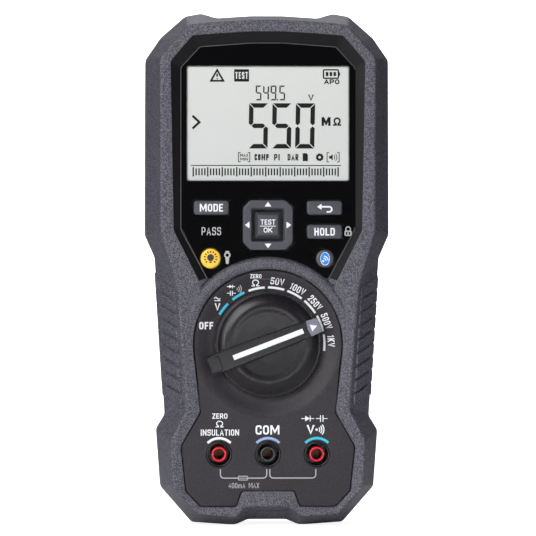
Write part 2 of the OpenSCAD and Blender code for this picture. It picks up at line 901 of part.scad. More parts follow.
module tilt_stand() {
    color("#2b2b30") difference() {
        union() {
            slab(21.8, 24.1) polygon(whole([
                [12, 22.4], [stand_half_w - 3, 27], [stand_half_w, 50], [stand_half_w, hinge_z]
            ]));
            cross_rod([hinge_y, hinge_z], barrel_r, -stand_half_w, stand_half_w);
        }
        cross_rod([hinge_y, hinge_z], axle_r + running, -30, 30);
        for (i = [0:4]) block([-12, 23.5, 36 + i * 5], [12, 25, 38 + i * 5]);
    }
}

// Quarter-turn stud with a coin slot and a cross cam
module fastener(x) {
    difference() {
        union() {
            rod([x, fastener_z], 3.4, 21.4, back_y - 0.2);
            rod([x, fastener_z], 2, 17.2, 21.4);
            block([x - 3.4, 17.2, fastener_z - 1.2], [x + 3.4, 19.3, fastener_z + 1.2]);
        }
        block([x - 4, back_y - 1.2, fastener_z - 0.6], [x + 4, back_y, fastener_z + 0.6]);
    }
}

module left_fastener() {
    color("#77797f") fastener(-fastener_x);
}

module right_fastener() {
    color("#77797f") fastener(fastener_x);
}

front_overmould();
rear_overmould();
front_shell();
rear_shell();
case_gasket();
face_bezel();
display_lens();
lower_panel();
display_cell();
display_frame();
backlight();
contact_strips();
keypad_mat();
main_board();
power_board();
board_spacers();
board_screws();
case_screws();
pass_light_pipe();
shaft_bushing();
detent_spring();
jack_housing();
insulation_sleeve();
common_sleeve();
voltage_sleeve();
jack_contacts();
fuse();
fuse_clips();
battery_cells();
battery_contacts();
hv_transformer();
relays();
capacitors();
main_chips();
wireless_module();
buzzer();
light_window();
light_leds();
selector_knob();
knob_pointer();
knob_stripe();
knob_shaft();
switch_rotor();
wiper_contacts();
shaft_clip();
mode_key();
return_key();
hold_key();
test_key();
light_key();
wireless_key();
nav_ring();
nav_carrier();
battery_door();
door_gasket();
stand_axle();
tilt_stand();
left_fastener();
right_fastener();
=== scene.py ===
"""Looks of a hand-held insulation resistance tester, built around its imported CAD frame.

Shapes are given in millimetres in the CAD's frame: X across, Z up, the face towards -Y.
A plan point is (x, z) on the face; depth is y, and -y is nearer to the viewer.
"""

import json
import math

import bmesh
import bpy
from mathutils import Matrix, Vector


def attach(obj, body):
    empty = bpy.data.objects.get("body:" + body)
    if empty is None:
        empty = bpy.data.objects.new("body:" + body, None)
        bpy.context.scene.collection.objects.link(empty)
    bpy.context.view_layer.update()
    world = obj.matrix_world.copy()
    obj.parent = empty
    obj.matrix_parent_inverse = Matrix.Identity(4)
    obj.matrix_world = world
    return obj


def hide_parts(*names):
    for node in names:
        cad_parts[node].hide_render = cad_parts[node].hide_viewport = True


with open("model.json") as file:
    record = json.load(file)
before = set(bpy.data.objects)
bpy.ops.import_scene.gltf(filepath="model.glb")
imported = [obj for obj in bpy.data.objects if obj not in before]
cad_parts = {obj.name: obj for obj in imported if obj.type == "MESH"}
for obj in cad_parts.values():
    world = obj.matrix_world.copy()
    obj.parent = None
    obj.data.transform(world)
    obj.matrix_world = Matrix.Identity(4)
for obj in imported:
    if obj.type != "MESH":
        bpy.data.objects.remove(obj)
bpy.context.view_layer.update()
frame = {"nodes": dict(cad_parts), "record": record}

MM = 0.001
CASE_BODY = "case"

# Depths of the CAD's planes
RIM_Y = -21.4          # ridge of the rubber rim
SHOULDER_Y = -9        # where the front chamfer meets the side
PARTING_Y = 3
REAR_SHOULDER_Y = 11
BACK_Y = 23
PAD_Y = 24.5
BEZEL_Y = -19.6
PANEL_Y = -20.4
SEAT_Y = -17.4         # the hard shell under the bezel and the panel
GLASS_Y = BEZEL_Y + 1.5  # the front of the liquid crystal cell
INK = 0.03             # how far printed ink stands off
BAR = 0.95             # the width of the printed arcs

DIAL = (0, 70.8)
DIAL_R = 29
ARCH_R = 33.9
POINTER_ANGLE = 21

JACKS = [(-19, 28), (0, 28), (19, 28)]
WINDOW = (0, 156.6)
WINDOW_SIZE = (63.2, 44.7)
NAV = (0, 117.1)
MODE, RETURN, HOLD = (-22, 123.8), (22, 123.8), (22, 114.5)
LIGHT, WIRELESS = (-22.3, 104.1), (22.2, 104)
HINGE_Z, HINGE_Y = 112, 22.2
FASTENERS = [(-26.8, 100), (26.8, 100)]
CASE_SCREWS = [(-24, 188), (24, 188)]
WORK_LIGHT = (0, 171)

# Corners of the front, each as its points on the silhouette, the ridge of the rim and the rim's
# inner edge, from the notch in the base up to the waist and from there up to the top
LOWER_CORNERS = [
    ((7.5, 2), (8.6, 7.6), (10.1, 13.7)), ((12.2, 0), (12.2, 3.8), (12.2, 7.6)),
    ((15.2, 0), (15, 3.8), (15, 7.6)), ((29.6, 1), (27.2, 4.8), (26.3, 7.6)),
    ((41.8, 15), (37, 15.4), (32.1, 13.7)), ((43.4, 37), (37.8, 33.3), (34, 31.1)),
    ((40, 42.6), (31.5, 45.6), (26.3, 44.4)),
]
# The same, with a fourth point at the foot of the rim's inner wall
UPPER_CORNERS = [
    ((43.9, 104.5), (35.2, 92.6), (26.6, 94.5), (23.6, 95.7)),
    ((47.8, 113.3), (41.7, 115.3), (36.8, 115), (34.1, 115.3)),
    ((47.6, 181.8), (41.9, 181.6), (36.8, 180.6), (34.1, 178.4)),
    ((41.6, 190.5), (36.8, 188), (32.8, 185.2), (30.3, 182.6)),
    ((32, 198.9), (30.9, 194.7), (28.9, 189.7), (26.5, 186.6)),
    ((25.7, 200), (25.5, 195.4), (24.5, 190), (22.5, 186.9)),
    ((19.7, 198.2), (19.5, 196), (19, 190.4), (18, 187.2)),
    ((6, 199.1), (6, 196.8), (6, 191.2), (6, 188.1)),
]
# Corners of the back: silhouette, and the edge of the opening in the rubber
REAR_CORNERS = [
    ((7.5, 2), (7.5, 9.6)), ((12.2, 0), (12.2, 9.6)), ((15.2, 0), (15.2, 9.6)),
    ((29.6, 1), (25, 9.6)), ((41.8, 15), (31.3, 16.2)), ((43.4, 37), (31.3, 37)),
    ((40, 42.6), (31.3, 44)), ((43.9, 104.5), (31.3, 112)), ((47.8, 113.3), (36.6, 124)),
    ((47.7, 156), (36.6, 158)), ((47.7, 164), (29.5, 163)), ((47.6, 181.8), (29.5, 172)),
    ((41.6, 190.5), (29.5, 178)), ((32, 198.9), (26, 181)), ((25.7, 200), (23, 181)),
    ((19.7, 198.2), (18, 181)), ((6, 199.1), (6, 181)),
]
BACK_WINDOW = [(25, 9.6), (31.3, 16.2), (31.3, 112), (36.6, 124), (36.6, 158), (29.5, 163),
               (29.5, 178), (26, 181)]
DOOR = [(24.8, 10), (31, 16.5), (31, 113), (26, 118)]
BEZEL = [(23.6, 95.7), (34.1, 115.3), (34.1, 178.4), (26.5, 186.6), (6, 188.1)]
PANEL = [(10.1, 13.7), (12.2, 7.6), (26.3, 7.6), (32.1, 13.7), (34, 31.1), (26.3, 44.4)]


# ---- points and outlines ----

def lerp(a, b, t):
    return tuple(p + (q - p) * t for p, q in zip(a, b))


def smooth(t):
    t = min(1, max(0, t))
    return t * t * (3 - 2 * t)


def polar(centre, r, angle):
    a = math.radians(angle)
    return (centre[0] + r * math.cos(a), centre[1] + r * math.sin(a))


def arc(centre, r, start, end, steps=24):
    return [polar(centre, r, start + (end - start) * i / steps) for i in range(steps + 1)]


def circle(centre, r, steps=48):
    return [polar(centre, r, 360 * i / steps) for i in range(steps)]


def whole(half):
    """A closed outline from its right half."""
    return list(half) + [(-x, z) for x, z in reversed(half)]


def turned(points, angle, centre=(0, 0)):
    """Plan points turned about the origin and then moved to the centre."""
    c, s = math.cos(math.radians(angle)), math.sin(math.radians(angle))
    return [(centre[0] + x * c - z * s, centre[1] + x * s + z * c) for x, z in points]


def bent(before, corner, after, cut, steps):
    """Points of a curve that leaves the corner's sides at the distance cut from it."""
    def along(end):
        length = math.dist(corner, end)
        return lerp(corner, end, min(cut / length, 0.48) if length else 0)
    a, b = along(before), along(after)
    return [lerp(lerp(a, corner, t), lerp(corner, b, t), t) for t in
            (i / steps for i in range(steps + 1))]


def rounded(points, cut, steps=4):
    """A closed outline with each corner rounded, steps + 1 points to a corner."""
    n = len(points)
    return [p for i in range(n)
            for p in bent(points[i - 1], points[i], points[(i + 1) % n], cut, steps)]


def normal(a, b):
    """The unit normal on the left of the way from a to b."""
    length = math.dist(a, b) or 1
    return (a[1] - b[1]) / length, (b[0] - a[0]) / length


def inset(points, d):
    """A counter-clockwise outline drawn in by d."""
    result = []
    for i, p in enumerate(points):
        (ax, az), (bx, bz) = normal(points[i - 1], p), normal(p, points[(i + 1) % len(points)])
        share = d / max(0.3, 1 + ax * bx + az * bz)
        result.append((p[0] + share * (ax + bx), p[1] + share * (az + bz)))
    return result


def shifted(points, centre):
    return [(centre[0] + x, centre[1] + z) for x, z in points]


def rectangle(centre, w, h, cut=1.0, steps=5):
    x, z = w / 2, h / 2
    return shifted(rounded([(-x, -z), (x, -z), (x, z), (-x, z)], cut, steps), centre)


def octagon(centre, w, cut, soft, steps=4):
    """A square with cut corners, its eight corners rounded."""
    h = w / 2
    c = h - cut
    corners = [(-c, -h), (c, -h), (h, -c), (h, c), (c, h), (-c, h), (-h, c), (-h, -c)]
    return shifted(rounded(corners, soft, steps), centre)


# ---- solids: each is (points, faces) in millimetres ----

def in_scene(name, data):
    obj = bpy.data.objects.new(name, data)
    bpy.context.scene.collection.objects.link(obj)
    return obj


def at_depth(outline, y):
    return [(x, y, z) for x, z in outline]


def skin(rings, first_cap=False, last_cap=False):
    """A skin over closed rings that have the same number of points."""
    n = len(rings[0])
    points = [p for ring in rings for p in ring]
    faces = [(k * n + i, k * n + (i + 1) % n, (k + 1) * n + (i + 1) % n, (k + 1) * n + i)
             for k in range(len(rings) - 1) for i in range(n)]
    if first_cap:
        faces.append(tuple(range(n)))
    if last_cap:
        faces.append(tuple((len(rings) - 1) * n + i for i in range(n)))
    return points, faces


def softened(rings, cuts, steps=3):
    """The rings with the edge along each ring but the ends rounded by its cut."""
    out = [rings[0]]
    for k in range(1, len(rings) - 1):
        if not cuts[k]:
            out.append(rings[k])
            continue
        corners = [bent(a, b, c, cuts[k], steps)
                   for a, b, c in zip(rings[k - 1], rings[k], rings[k + 1])]
        out += [[corner[s] for corner in corners] for s in range(steps + 1)]
    return out + [rings[-1]]


def button(outline, y_back, y_front, edge, crown, steps=4):
    """A cap with a rounded front edge and a slightly crowned front."""
    rings = [at_depth(outline, y_back)]
    for i in range(steps + 1):
        a = math.pi / 2 * i / steps
        rings.append(at_depth(inset(outline, edge * (1 - math.cos(a))),
                              y_front + edge * (1 - math.sin(a))))
    centre = tuple(sum(v) / len(outline) for v in zip(*outline))
    top = inset(outline, edge)
    for t in (0.25, 0.5, 0.75, 0.97):
        rings.append(at_depth([lerp(p, centre, t) for p in top],
                              y_front - crown * (1 - (1 - t) ** 2)))
    return skin(rings, True, True)


def revolve(profile, centre, segments=72):
    """A solid of revolution about a line along Y; the profile is (radius, y) points."""
    return skin([at_depth(circle(centre, max(r, 0.0005), segments), y) for r, y in profile])


def soft_profile(profile, cut, steps=3):
    """A profile with its corners rounded, its two ends left alone."""
    return ([profile[0]] + [p for corner in zip(profile, profile[1:], profile[2:])
                            for p in bent(*corner, cut, steps)] + [profile[-1]])


def plate(loops, y_front, y_back, edge=0.0, steps=3):
    """A flat plate with holes: the first loop is its outline. Its edges are rounded."""
    curve = bpy.data.curves.new("plan", "CURVE")
    curve.dimensions = "2D"
    curve.fill_mode = "BOTH"
    curve.extrude = (y_back - y_front) / 2 - edge
    curve.bevel_depth = edge
    curve.bevel_resolution = steps
    curve.offset = -edge
    for loop in loops:
        spline = curve.splines.new("POLY")
        spline.points.add(len(loop) - 1)
        for point, (x, z) in zip(spline.points, loop):
            point.co = (x, z, 0, 1)
        spline.use_cyclic_u = True
    obj = in_scene("plan", curve)
    graph = bpy.context.evaluated_depsgraph_get()
    mesh = bpy.data.meshes.new_from_object(obj.evaluated_get(graph))
    y_mid = (y_front + y_back) / 2
    points = [(v.co.x, y_mid - v.co.z, v.co.y) for v in mesh.vertices]
    faces = [tuple(f.vertices) for f in mesh.polygons]
    bpy.data.objects.remove(obj)
    bpy.data.curves.remove(curve)
    bpy.data.meshes.remove(mesh)
    return points, faces


# Letters as centre lines in a unit box: a relative width, rounded paths and sharp paths
OHM = "\u03a9"
OMEGA = [(0, 0), (0.33, 0)] + arc((0.5, 0.57), 0.43, 247, -67, 14) + [(0.67, 0), (1, 0)]
LEFT, RIGHT = [(0, 0), (0, 1)], [(1, 0), (1, 1)]
GLYPHS = {
    "A": (1.1, [], [[(0, 0), (0.5, 1), (1, 0)], [(0.2, 0.3), (0.8, 0.3)]]),
    "C": (1, [[(1, 0.76), (1, 1), (0, 1), (0, 0), (1, 0), (1, 0.24)]], []),
    "D": (1, [[(0, 1), (1, 1), (1, 0), (0, 0)]], [LEFT]),
    "E": (0.85, [], [[(1, 1), (0, 1), (0, 0), (1, 0)], [(0, 0.5), (0.85, 0.5)]]),
    "F": (0.85, [], [[(1, 1), (0, 1), (0, 0)], [(0, 0.5), (0.85, 0.5)]]),
    "H": (1, [], [LEFT, RIGHT, [(0, 0.52), (1, 0.52)]]),
    "I": (0.32, [], [[(0.5, 0), (0.5, 1)]]),
    "K": (1, [], [LEFT, [(1, 1), (0, 0.4)], [(0.3, 0.6), (1, 0)]]),
    "L": (0.85, [], [[(0, 1), (0, 0), (1, 0)]]),
    "M": (1.5, [], [LEFT, RIGHT, [(0.08, 1), (0.5, 0.2), (0.92, 1)]]),
    "N": (1.1, [], [LEFT, RIGHT, [(0.06, 0.95), (0.94, 0.05)]]),
    "O": (1, [[(0, 1), (0, 0), (1, 0), (1, 1), (0, 1)]], []),
    "P": (1, [[(0, 1), (1, 1), (1, 0.42), (0, 0.42)]], [LEFT]),
    "R": (1, [[(0, 1), (1, 1), (1, 0.45), (0, 0.45)]], [LEFT, [(0.5, 0.45), (1, 0)]]),
    "S": (1, [[(1, 0.82), (1, 1), (0, 1), (0, 0.53), (1, 0.53), (1, 0), (0, 0), (0, 0.18)]], []),
    "T": (1, [], [[(0, 1), (1, 1)], [(0.5, 0), (0.5, 1)]]),
    "U": (1, [[(0, 1), (0, 0), (1, 0), (1, 1)]], []),
    "V": (1.1, [], [[(0, 1), (0.5, 0), (1, 1)]]),
    "X": (1.05, [], [[(0, 0), (1, 1)], [(0, 1), (1, 0)]]),
    "Z": (0.95, [], [[(0, 1), (1, 1), (0, 0), (1, 0)]]),
    "m": (1.5, [[(0, 0), (0, 0.68), (0.5, 0.68), (0.5, 0)],
                [(0.5, 0.68), (1, 0.68), (1, 0)]], []),
    "1": (0.6, [], [[(0.1, 0.8), (0.8, 1), (0.8, 0)]]),
    "2": (1, [[(0, 0.7), (0, 1), (1, 1), (1, 0.6), (0, 0)]], [[(0, 0), (1, 0)]]),
    "4": (1.05, [], [[(0.75, 0), (0.75, 1), (0, 0.28), (1, 0.28)]]),
    "5": (1, [[(0, 0.6), (1, 0.6), (1, 0), (0, 0), (0, 0.22)]],
          [[(0.95, 1), (0.05, 1), (0, 0.6)]]),
    OHM: (1.3, [], [OMEGA]),
}
GLYPHS["0"] = GLYPHS["O"]
# Spaces between letters and between words, and the letters' corner cut, as shares of their
# height and of their width
LETTER_GAP, WORD_GAP, LETTER_CUT = 0.14, 0.4, 0.36
INK_LAYER = 0.12       # how far a crossing mark is drawn in front of the one before


def softened_path(path, cut, steps=4):
    """An open path with its inner corners rounded."""
    out = [path[0]]
    for a, b, c in zip(path, path[1:], path[2:]):
        out += bent(a, b, c, min(cut, 0.45 * math.dist(a, b), 0.45 * math.dist(b, c)), steps)
    return out + [path[-1]]


def lettering(word, centre, height, width, weight=0.2, turn=0):
    """A condensed word in strokes; weight is their thickness as a share of the height."""
    line, gap, space = weight * height, LETTER_GAP * height, WORD_GAP * height
    share = sum(GLYPHS[c][0] for c in word if c != " ")
    unit = (width - gap * (len(word) - 1) - word.count(" ") * space) / share
    x0 = -width / 2
    parts = []
    for c in word:
        if c == " ":
            x0 += space + gap
            continue
        relative, round_paths, sharp_paths = GLYPHS[c]
        w = relative * unit

        def placed(path):
            return [(x0 + line / 2 + u * max(0.01, w - line),
                     -height / 2 + line / 2 + v * (height - line)) for u, v in path]

        def square_ended(path):
            return stroke(squared(turned(path, turn, centre), line / 2), line)
        for path in round_paths:
            if path[0] == path[-1]:
                ring = rounded(placed(path[:-1]), LETTER_CUT * w, 4)
                parts.append(stroke(turned(ring, turn, centre), line, True))
            else:
                parts.append(square_ended(softened_path(placed(path), LETTER_CUT * w)))
        parts += [square_ended(placed(path)) for path in sharp_paths]
        x0 += w + gap
    return joined(layered(parts))


def squared(path, reach):
    """A path with both ends run on, so that its strokes end square."""
    first = math.dist(path[0], path[1]) or 1
    last = math.dist(path[-1], path[-2]) or 1
    return ([lerp(path[0], path[1], -reach / first)] + path[1:-1]
            + [lerp(path[-1], path[-2], -reach / last)])


def patch(outline):
    """A flat patch of ink."""
    return skin([at_depth(outline, -0.5), at_depth(outline, 0.5)], True, True)


def stroke(path, width, closed=False):
    """A line of ink along a path, mitred at its corners."""
    rings = []
    for i, (x, z) in enumerate(path):
        sides = []
        if i or closed:
            sides.append(normal(path[i - 1], path[i]))
        if i < len(path) - 1 or closed:
            sides.append(normal(path[i], path[(i + 1) % len(path)]))
        (ax, az), (bx, bz) = sides[0], sides[-1]
        share = width / 2 / max(0.5, 1 + ax * bx + az * bz)
        nx, nz = share * (ax + bx), share * (az + bz)
        rings.append([(x + nx, -0.5, z + nz), (x - nx, -0.5, z - nz),
                      (x - nx, 0.5, z - nz), (x + nx, 0.5, z + nz)])
    return skin(rings + rings[:1]) if closed else skin(rings, True, True)


def layered(parts):
    """Marks that cross each other, each a hair in front of the one before."""
    return [([(x, y - INK_LAYER * (i % 6) if y < 0 else y, z) for x, y, z in points], faces)
            for i, (points, faces) in enumerate(parts)]


def joined(parts):
    points, faces = [], []
    for part_points, part_faces in parts:
        base = len(points)
        points += part_points
        faces += [tuple(base + i for i in face) for face in part_faces]
    return points, faces


def on_knob(part):
    """A solid drawn about the origin with the pointer along X, set on the dial."""
    points, faces = part
    plan = turned([(x, z) for x, y, z in points], POINTER_ANGLE, DIAL)
    return [(x, point[1], z) for point, (x, z) in zip(points, plan)], faces


# ---- pieces ----

def piece(name, solid, slot, node=None, body=CASE_BODY, material=None, sharp=42):
    """One Blender object from a solid: it rides on a body and may stand for a CAD node."""
    points, faces = solid
    mesh = bpy.data.meshes.new(name)
    mesh.from_pydata([(x * MM, y * MM, z * MM) for x, y, z in points], [], faces)
    cleaner = bmesh.new()
    cleaner.from_mesh(mesh)
    bmesh.ops.remove_doubles(cleaner, verts=cleaner.verts, dist=0.004 * MM)
    bmesh.ops.dissolve_degenerate(cleaner, edges=cleaner.edges, dist=0.002 * MM)
    bmesh.ops.recalc_face_normals(cleaner, faces=cleaner.faces)
    cleaner.to_mesh(mesh)
    cleaner.free()
    mesh.shade_smooth()
    mesh.set_sharp_from_angle(angle=math.radians(sharp))
    mesh.materials.append(material or MATERIALS[slot])
    obj = in_scene(name, mesh)
    obj.modifiers.new("flat faces", "WEIGHTED_NORMAL").keep_sharp = True
    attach(obj, body)
    if node:
        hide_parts(node)
    return obj


def ink(name, parts, surface, material=None, body=CASE_BODY, slot="stripe_white"):
    """Printed marks: thin ink laid on a surface, whose depth is a number or a function."""
    depth = surface if callable(surface) else (lambda x, z: surface)
    points, faces = joined(layered(parts))
    laid = [(x, depth(x, z) + 2 * INK * y, z) for x, y, z in points]
    piece(name, (laid, faces), slot, None, body, material, 30)


# ---- materials ----

def nodes_of(name):
    material = bpy.data.materials.new(name)
    material.use_nodes = True
    tree = material.node_tree
    shader = tree.nodes["Principled BSDF"]
    place = tree.nodes.new("ShaderNodeTexCoord").outputs["Object"]
    return material, tree, shader, place


def feed(tree, node, inputs):
    """Sets a node's inputs: each is a value, or the output that feeds it."""
    for name, value in inputs.items():
        if isinstance(value, bpy.types.NodeSocket):
            tree.links.new(value, node.inputs[name])
        else:
            node.inputs[name].default_value = value


def made(tree, kind, output, inputs):
    """The output of a new node."""
    node = tree.nodes.new("ShaderNode" + kind)
    feed(tree, node, inputs)
    return node.outputs[output]


def noise(tree, place, scale, detail=2.0):
    return made(tree, "TexNoise", "Fac", {"Vector": place, "Scale": scale, "Detail": detail,
                                          "Roughness": 0.6})


def spread(tree, value, low, high, from_low=0.3, from_high=0.7):
    return made(tree, "MapRange", "Result", {
        "Value": value, "From Min": from_low, "From Max": from_high, "To Min": low,
        "To Max": high})


def mixed(tree, share, a, b, blend="MIX"):
    node = tree.nodes.new("ShaderNodeMix")
    node.data_type = "RGBA"
    node.blend_type = blend
    feed(tree, node, {"Factor": share, "A": a, "B": b})
    return node.outputs["Result"]


def two_tone(tree, value, dark, light):
    """A colour between two, by a value from 0 to 1."""
    return mixed(tree, value, (*dark, 1), (*light, 1))


def bump(tree, height, strength, distance, **before):
    return made(tree, "Bump", "Normal", {"Height": height, "Strength": strength,
                                         "Distance": distance * MM, **before})


def finish(name, colour, rough, grain=1.0, depth=0.02, mottle=0.12, metal=0.0, specular=0.5):
    """A moulded or machined surface: fine grain in its height, colour and roughness.

    grain is the size of its texture in millimetres, and depth is the height of that texture.
    """
    material, tree, shader, place = nodes_of(name)
    fine = noise(tree, place, 1 / (grain * MM))
    broad = noise(tree, place, 0.06 / MM, 3)
    dark = tuple(c * (1 - mottle) for c in colour)
    light = tuple(min(1, c * (1 + mottle)) for c in colour)
    feed(tree, shader, {
        "Base Color": two_tone(tree, spread(tree, fine, 0, 1), dark, light),
        "Roughness": spread(tree, broad, rough * 0.88, min(1, rough * 1.12)),
        "Normal": bump(tree, fine, 1.0, depth),
        "Metallic": metal, "Specular IOR Level": specular})
    return material


def rubber_finish(name, colour, light, rough):
    """Soft rubber with a pebbled texture, its colour flecked paler by painted glints of sheen on
    the pebbles.
    """
    material, tree, shader, place = nodes_of(name)
    pebble = made(tree, "TexVoronoi", "Distance", {"Vector": place, "Scale": 1.5 / MM})
    fine = noise(tree, place, 2.1 / MM)
    broad = noise(tree, place, 0.045 / MM, 4)
    # the pale flecks are painted highlights: glints of sheen laid into the colour
    tone = two_tone(tree, spread(tree, fine, 0, 1, 0.4, 0.66), colour, light)
    worn = two_tone(tree, spread(tree, broad, 0, 0.35), (1, 1, 1), (0.72, 0.72, 0.74))
    cells = bump(tree, pebble, 0.5, -0.06)
    feed(tree, shader, {
        "Base Color": mixed(tree, 1, tone, worn, "MULTIPLY"),
        "Roughness": spread(tree, fine, rough - 0.1, rough + 0.1),
        "Normal": bump(tree, fine, 0.8, 0.13, Normal=cells)})
    return material


def lcd_painted_light_finish():
    """Reflective liquid crystal glass with a painted glow, a little paler at the top by a painted
    gradient of light.
    """
    material, tree, shader, place = nodes_of("lcd_glass")
    half = WINDOW_SIZE[1] / 2
    height = spread(tree, made(tree, "SeparateXYZ", "Z", {"Vector": place}), 0, 1,
                    (WINDOW[1] - half) * MM, (WINDOW[1] + half) * MM)
    # painted light: the glass grows paler towards the top
    tone = two_tone(tree, height, (0.2, 0.207, 0.203), (0.215, 0.22, 0.215))
    feed(tree, shader, {
        # painted glow: the emission stands in for light falling on the glass
        "Base Color": tone, "Emission Color": tone, "Emission Strength": 2.35,
        "Roughness": spread(tree, noise(tree, place, 3 / MM), 0.42, 0.5)})
    return material


def clear_finish(name, tint, alpha):
    material, tree, shader, place = nodes_of(name)
    fine = noise(tree, place, 0.08 / MM)
    feed(tree, shader, {
        "Base Color": two_tone(tree, fine, tint, tuple(c * 0.9 for c in tint)),
        "Roughness": spread(tree, fine, 0.03, 0.07), "Alpha": alpha, "IOR": 1.46})
    return material


FINISHES = {
    "shell_plastic": ((0.03, 0.03, 0.034), 0.55, 0.5),
    "seal_rubber": ((0.012, 0.012, 0.013), 0.7, 0.6),
    "white_plastic": ((0.75, 0.76, 0.72), 0.5, 0.8, 0.01, 0.04),
    "contact_rubber": ((0.7, 0.25, 0.3), 0.7, 0.6, 0.01),
    "keypad_rubber": ((0.1, 0.1, 0.11), 0.7, 0.7),
    "circuit_board": ((0.02, 0.16, 0.07), 0.35, 1.6, 0.01, 0.2),
    # brass is set far darker than its own colour: painted shade for the contacts seen deep in the
    # jack bores
    "brass_metal": ((0.1, 0.06, 0.032), 0.4, 0.5, 0.004, 0.08, 1),
    "screw_steel": ((0.4, 0.41, 0.43), 0.32, 0.4, 0.006, 0.1, 1),
    "bearing_plastic": ((0.6, 0.58, 0.5), 0.45, 0.7, 0.01, 0.05),
    "jack_black": ((0.008, 0.008, 0.009), 0.3, 1.2, 0.004),
    "jack_red": ((0.62, 0.012, 0.03), 0.3, 1.2, 0.004, 0.08),
    "jack_grey": ((0.035, 0.035, 0.042), 0.35, 1.2, 0.004),
    "fuse_ceramic": ((0.72, 0.7, 0.62), 0.3, 0.6, 0.006, 0.05),
    "cell_wrap": ((0.25, 0.17, 0.04), 0.3, 1.5, 0.004, 0.15),
    "spring_steel": ((0.45, 0.45, 0.47), 0.3, 0.4, 0.004, 0.1, 1),
    "winding_tape": ((0.6, 0.48, 0.06), 0.4, 0.6, 0.008, 0.1),
    "relay_white": ((0.8, 0.8, 0.76), 0.4, 0.8, 0.006, 0.05),
    "capacitor_blue": ((0.02, 0.05, 0.28), 0.3, 1, 0.004),
    "chip_black": ((0.012, 0.012, 0.013), 0.45, 0.4, 0.01),
    "shield_metal": ((0.55, 0.56, 0.57), 0.35, 0.5, 0.006, 0.08, 1),
    "led_lens": ((0.85, 0.8, 0.45), 0.2, 0.8, 0.004, 0.05),
    "pointer_grey": ((0.17, 0.168, 0.23), 0.32, 0.6, 0.006),
    "stripe_white": ((0.83, 0.85, 0.88), 0.4, 0.5, 0.006, 0.04),
    "shaft_steel": ((0.5, 0.5, 0.52), 0.25, 0.4, 0.004, 0.08, 1),
    "key_grey": ((0.05, 0.052, 0.068), 0.4, 0.5, 0.012, 0.12),
    "key_yellow": ((0.93, 0.58, 0.045), 0.4, 0.5, 0.01, 0.06),
}
MATERIALS = {name: finish(name, *row) for name, row in FINISHES.items()}
MATERIALS.update({
    # the second, paler colour is that of the painted glints
    "rubber_skin": rubber_finish("rubber_skin", (0.026, 0.025, 0.034),
                                 (0.165, 0.162, 0.208), 0.58),
    "lcd_glass": lcd_painted_light_finish(),
    "lens_clear": clear_finish("lens_clear", (0.02, 0.02, 0.02), 0.03),
    "light_pipe": clear_finish("light_pipe", (0.8, 0.85, 0.9), 0.6),
    "bezel_gloss": finish("bezel_gloss", (0.002, 0.0019, 0.0024), 0.1, 6, 0.001, specular=0.3),
    "panel_plastic": finish("panel_plastic", (0.026, 0.0225, 0.028), 0.5, 0.5, 0.03, 0.35,
                            specular=0.3),
    "knob_plastic": finish("knob_plastic", (0.011, 0.0095, 0.0125), 0.27, 0.6, 0.001, 0.15,
                           specular=0.3),
})
INKS = {name: finish("ink_" + name, colour, rough, 0.5, 0.006, 0.06) for name, colour, rough in (
    ("cyan", (0.02, 0.5, 0.72), 0.45), ("pale_blue", (0.28, 0.4, 0.66), 0.45),
    ("blue", (0.0, 0.22, 0.82), 0.4), ("grey", (0.42, 0.42, 0.44), 0.5),
    ("dark", (0.02, 0.016, 0.018), 0.45))}
LCD_INK = finish("lcd_segments", (0.008, 0.0075, 0.007), 0.6, 0.8, 0.002, 0.1, specular=0.2)
# painted shade: a darker rubber laid on the rim's inner wall, where shade falls
RIM_PAINTED_SHADE = finish("rim_painted_shade", (0.0045, 0.0042, 0.0055), 0.5, 0.6, 0.008, specular=0.2)
# painted highlight: a paler grey line that stands for light caught on the bezel's rounded edge
BEZEL_PAINTED_HIGHLIGHT = finish("bezel_painted_highlight", (0.07, 0.068, 0.078), 0.3, 0.6, 0.004)


def paint_cad_nodes():
    """Gives every CAD node the procedural material of its slot."""
    for part in frame["record"]["subparts"]:
        mesh = frame["nodes"][part["node"]].data
        mesh.materials.clear()
        mesh.materials.append(MATERIALS[part["material_slot"]])


# ---- casing ----

WAIST_STEPS = 9
# The waist's straight lines, from the lower lobe to the shoulder: silhouette and ridge
WAIST_SILHOUETTE = (LOWER_CORNERS[-1][0], UPPER_CORNERS[0][0])
WAIST_RIDGE = (LOWER_CORNERS[-1][1], UPPER_CORNERS[0][1])
RAIL_Y = -20.5         # the rubber beside the lower panel
UPPER_EDGE_Y = -21.05  # the rim's inner edge round the bezel
SCOOP_Y = -20.7        # the rim where it dips in the notch of the base
RIM_SHADE_Z, RIM_SHADE_TOP = 98, -20.95  # where the painted shade on the rim's inner wall begins


def waist_edge(t):
    """The rubber's inner edge beside the dial: up the panel's side, then round the dial."""
    if t < 0.3:
        return lerp(LOWER_CORNERS[-1][2], (28.8, 66), t / 0.3)
    return polar(DIAL, DIAL_R + 0.15, -9.4 + (t - 0.3) / 0.7 * 48)


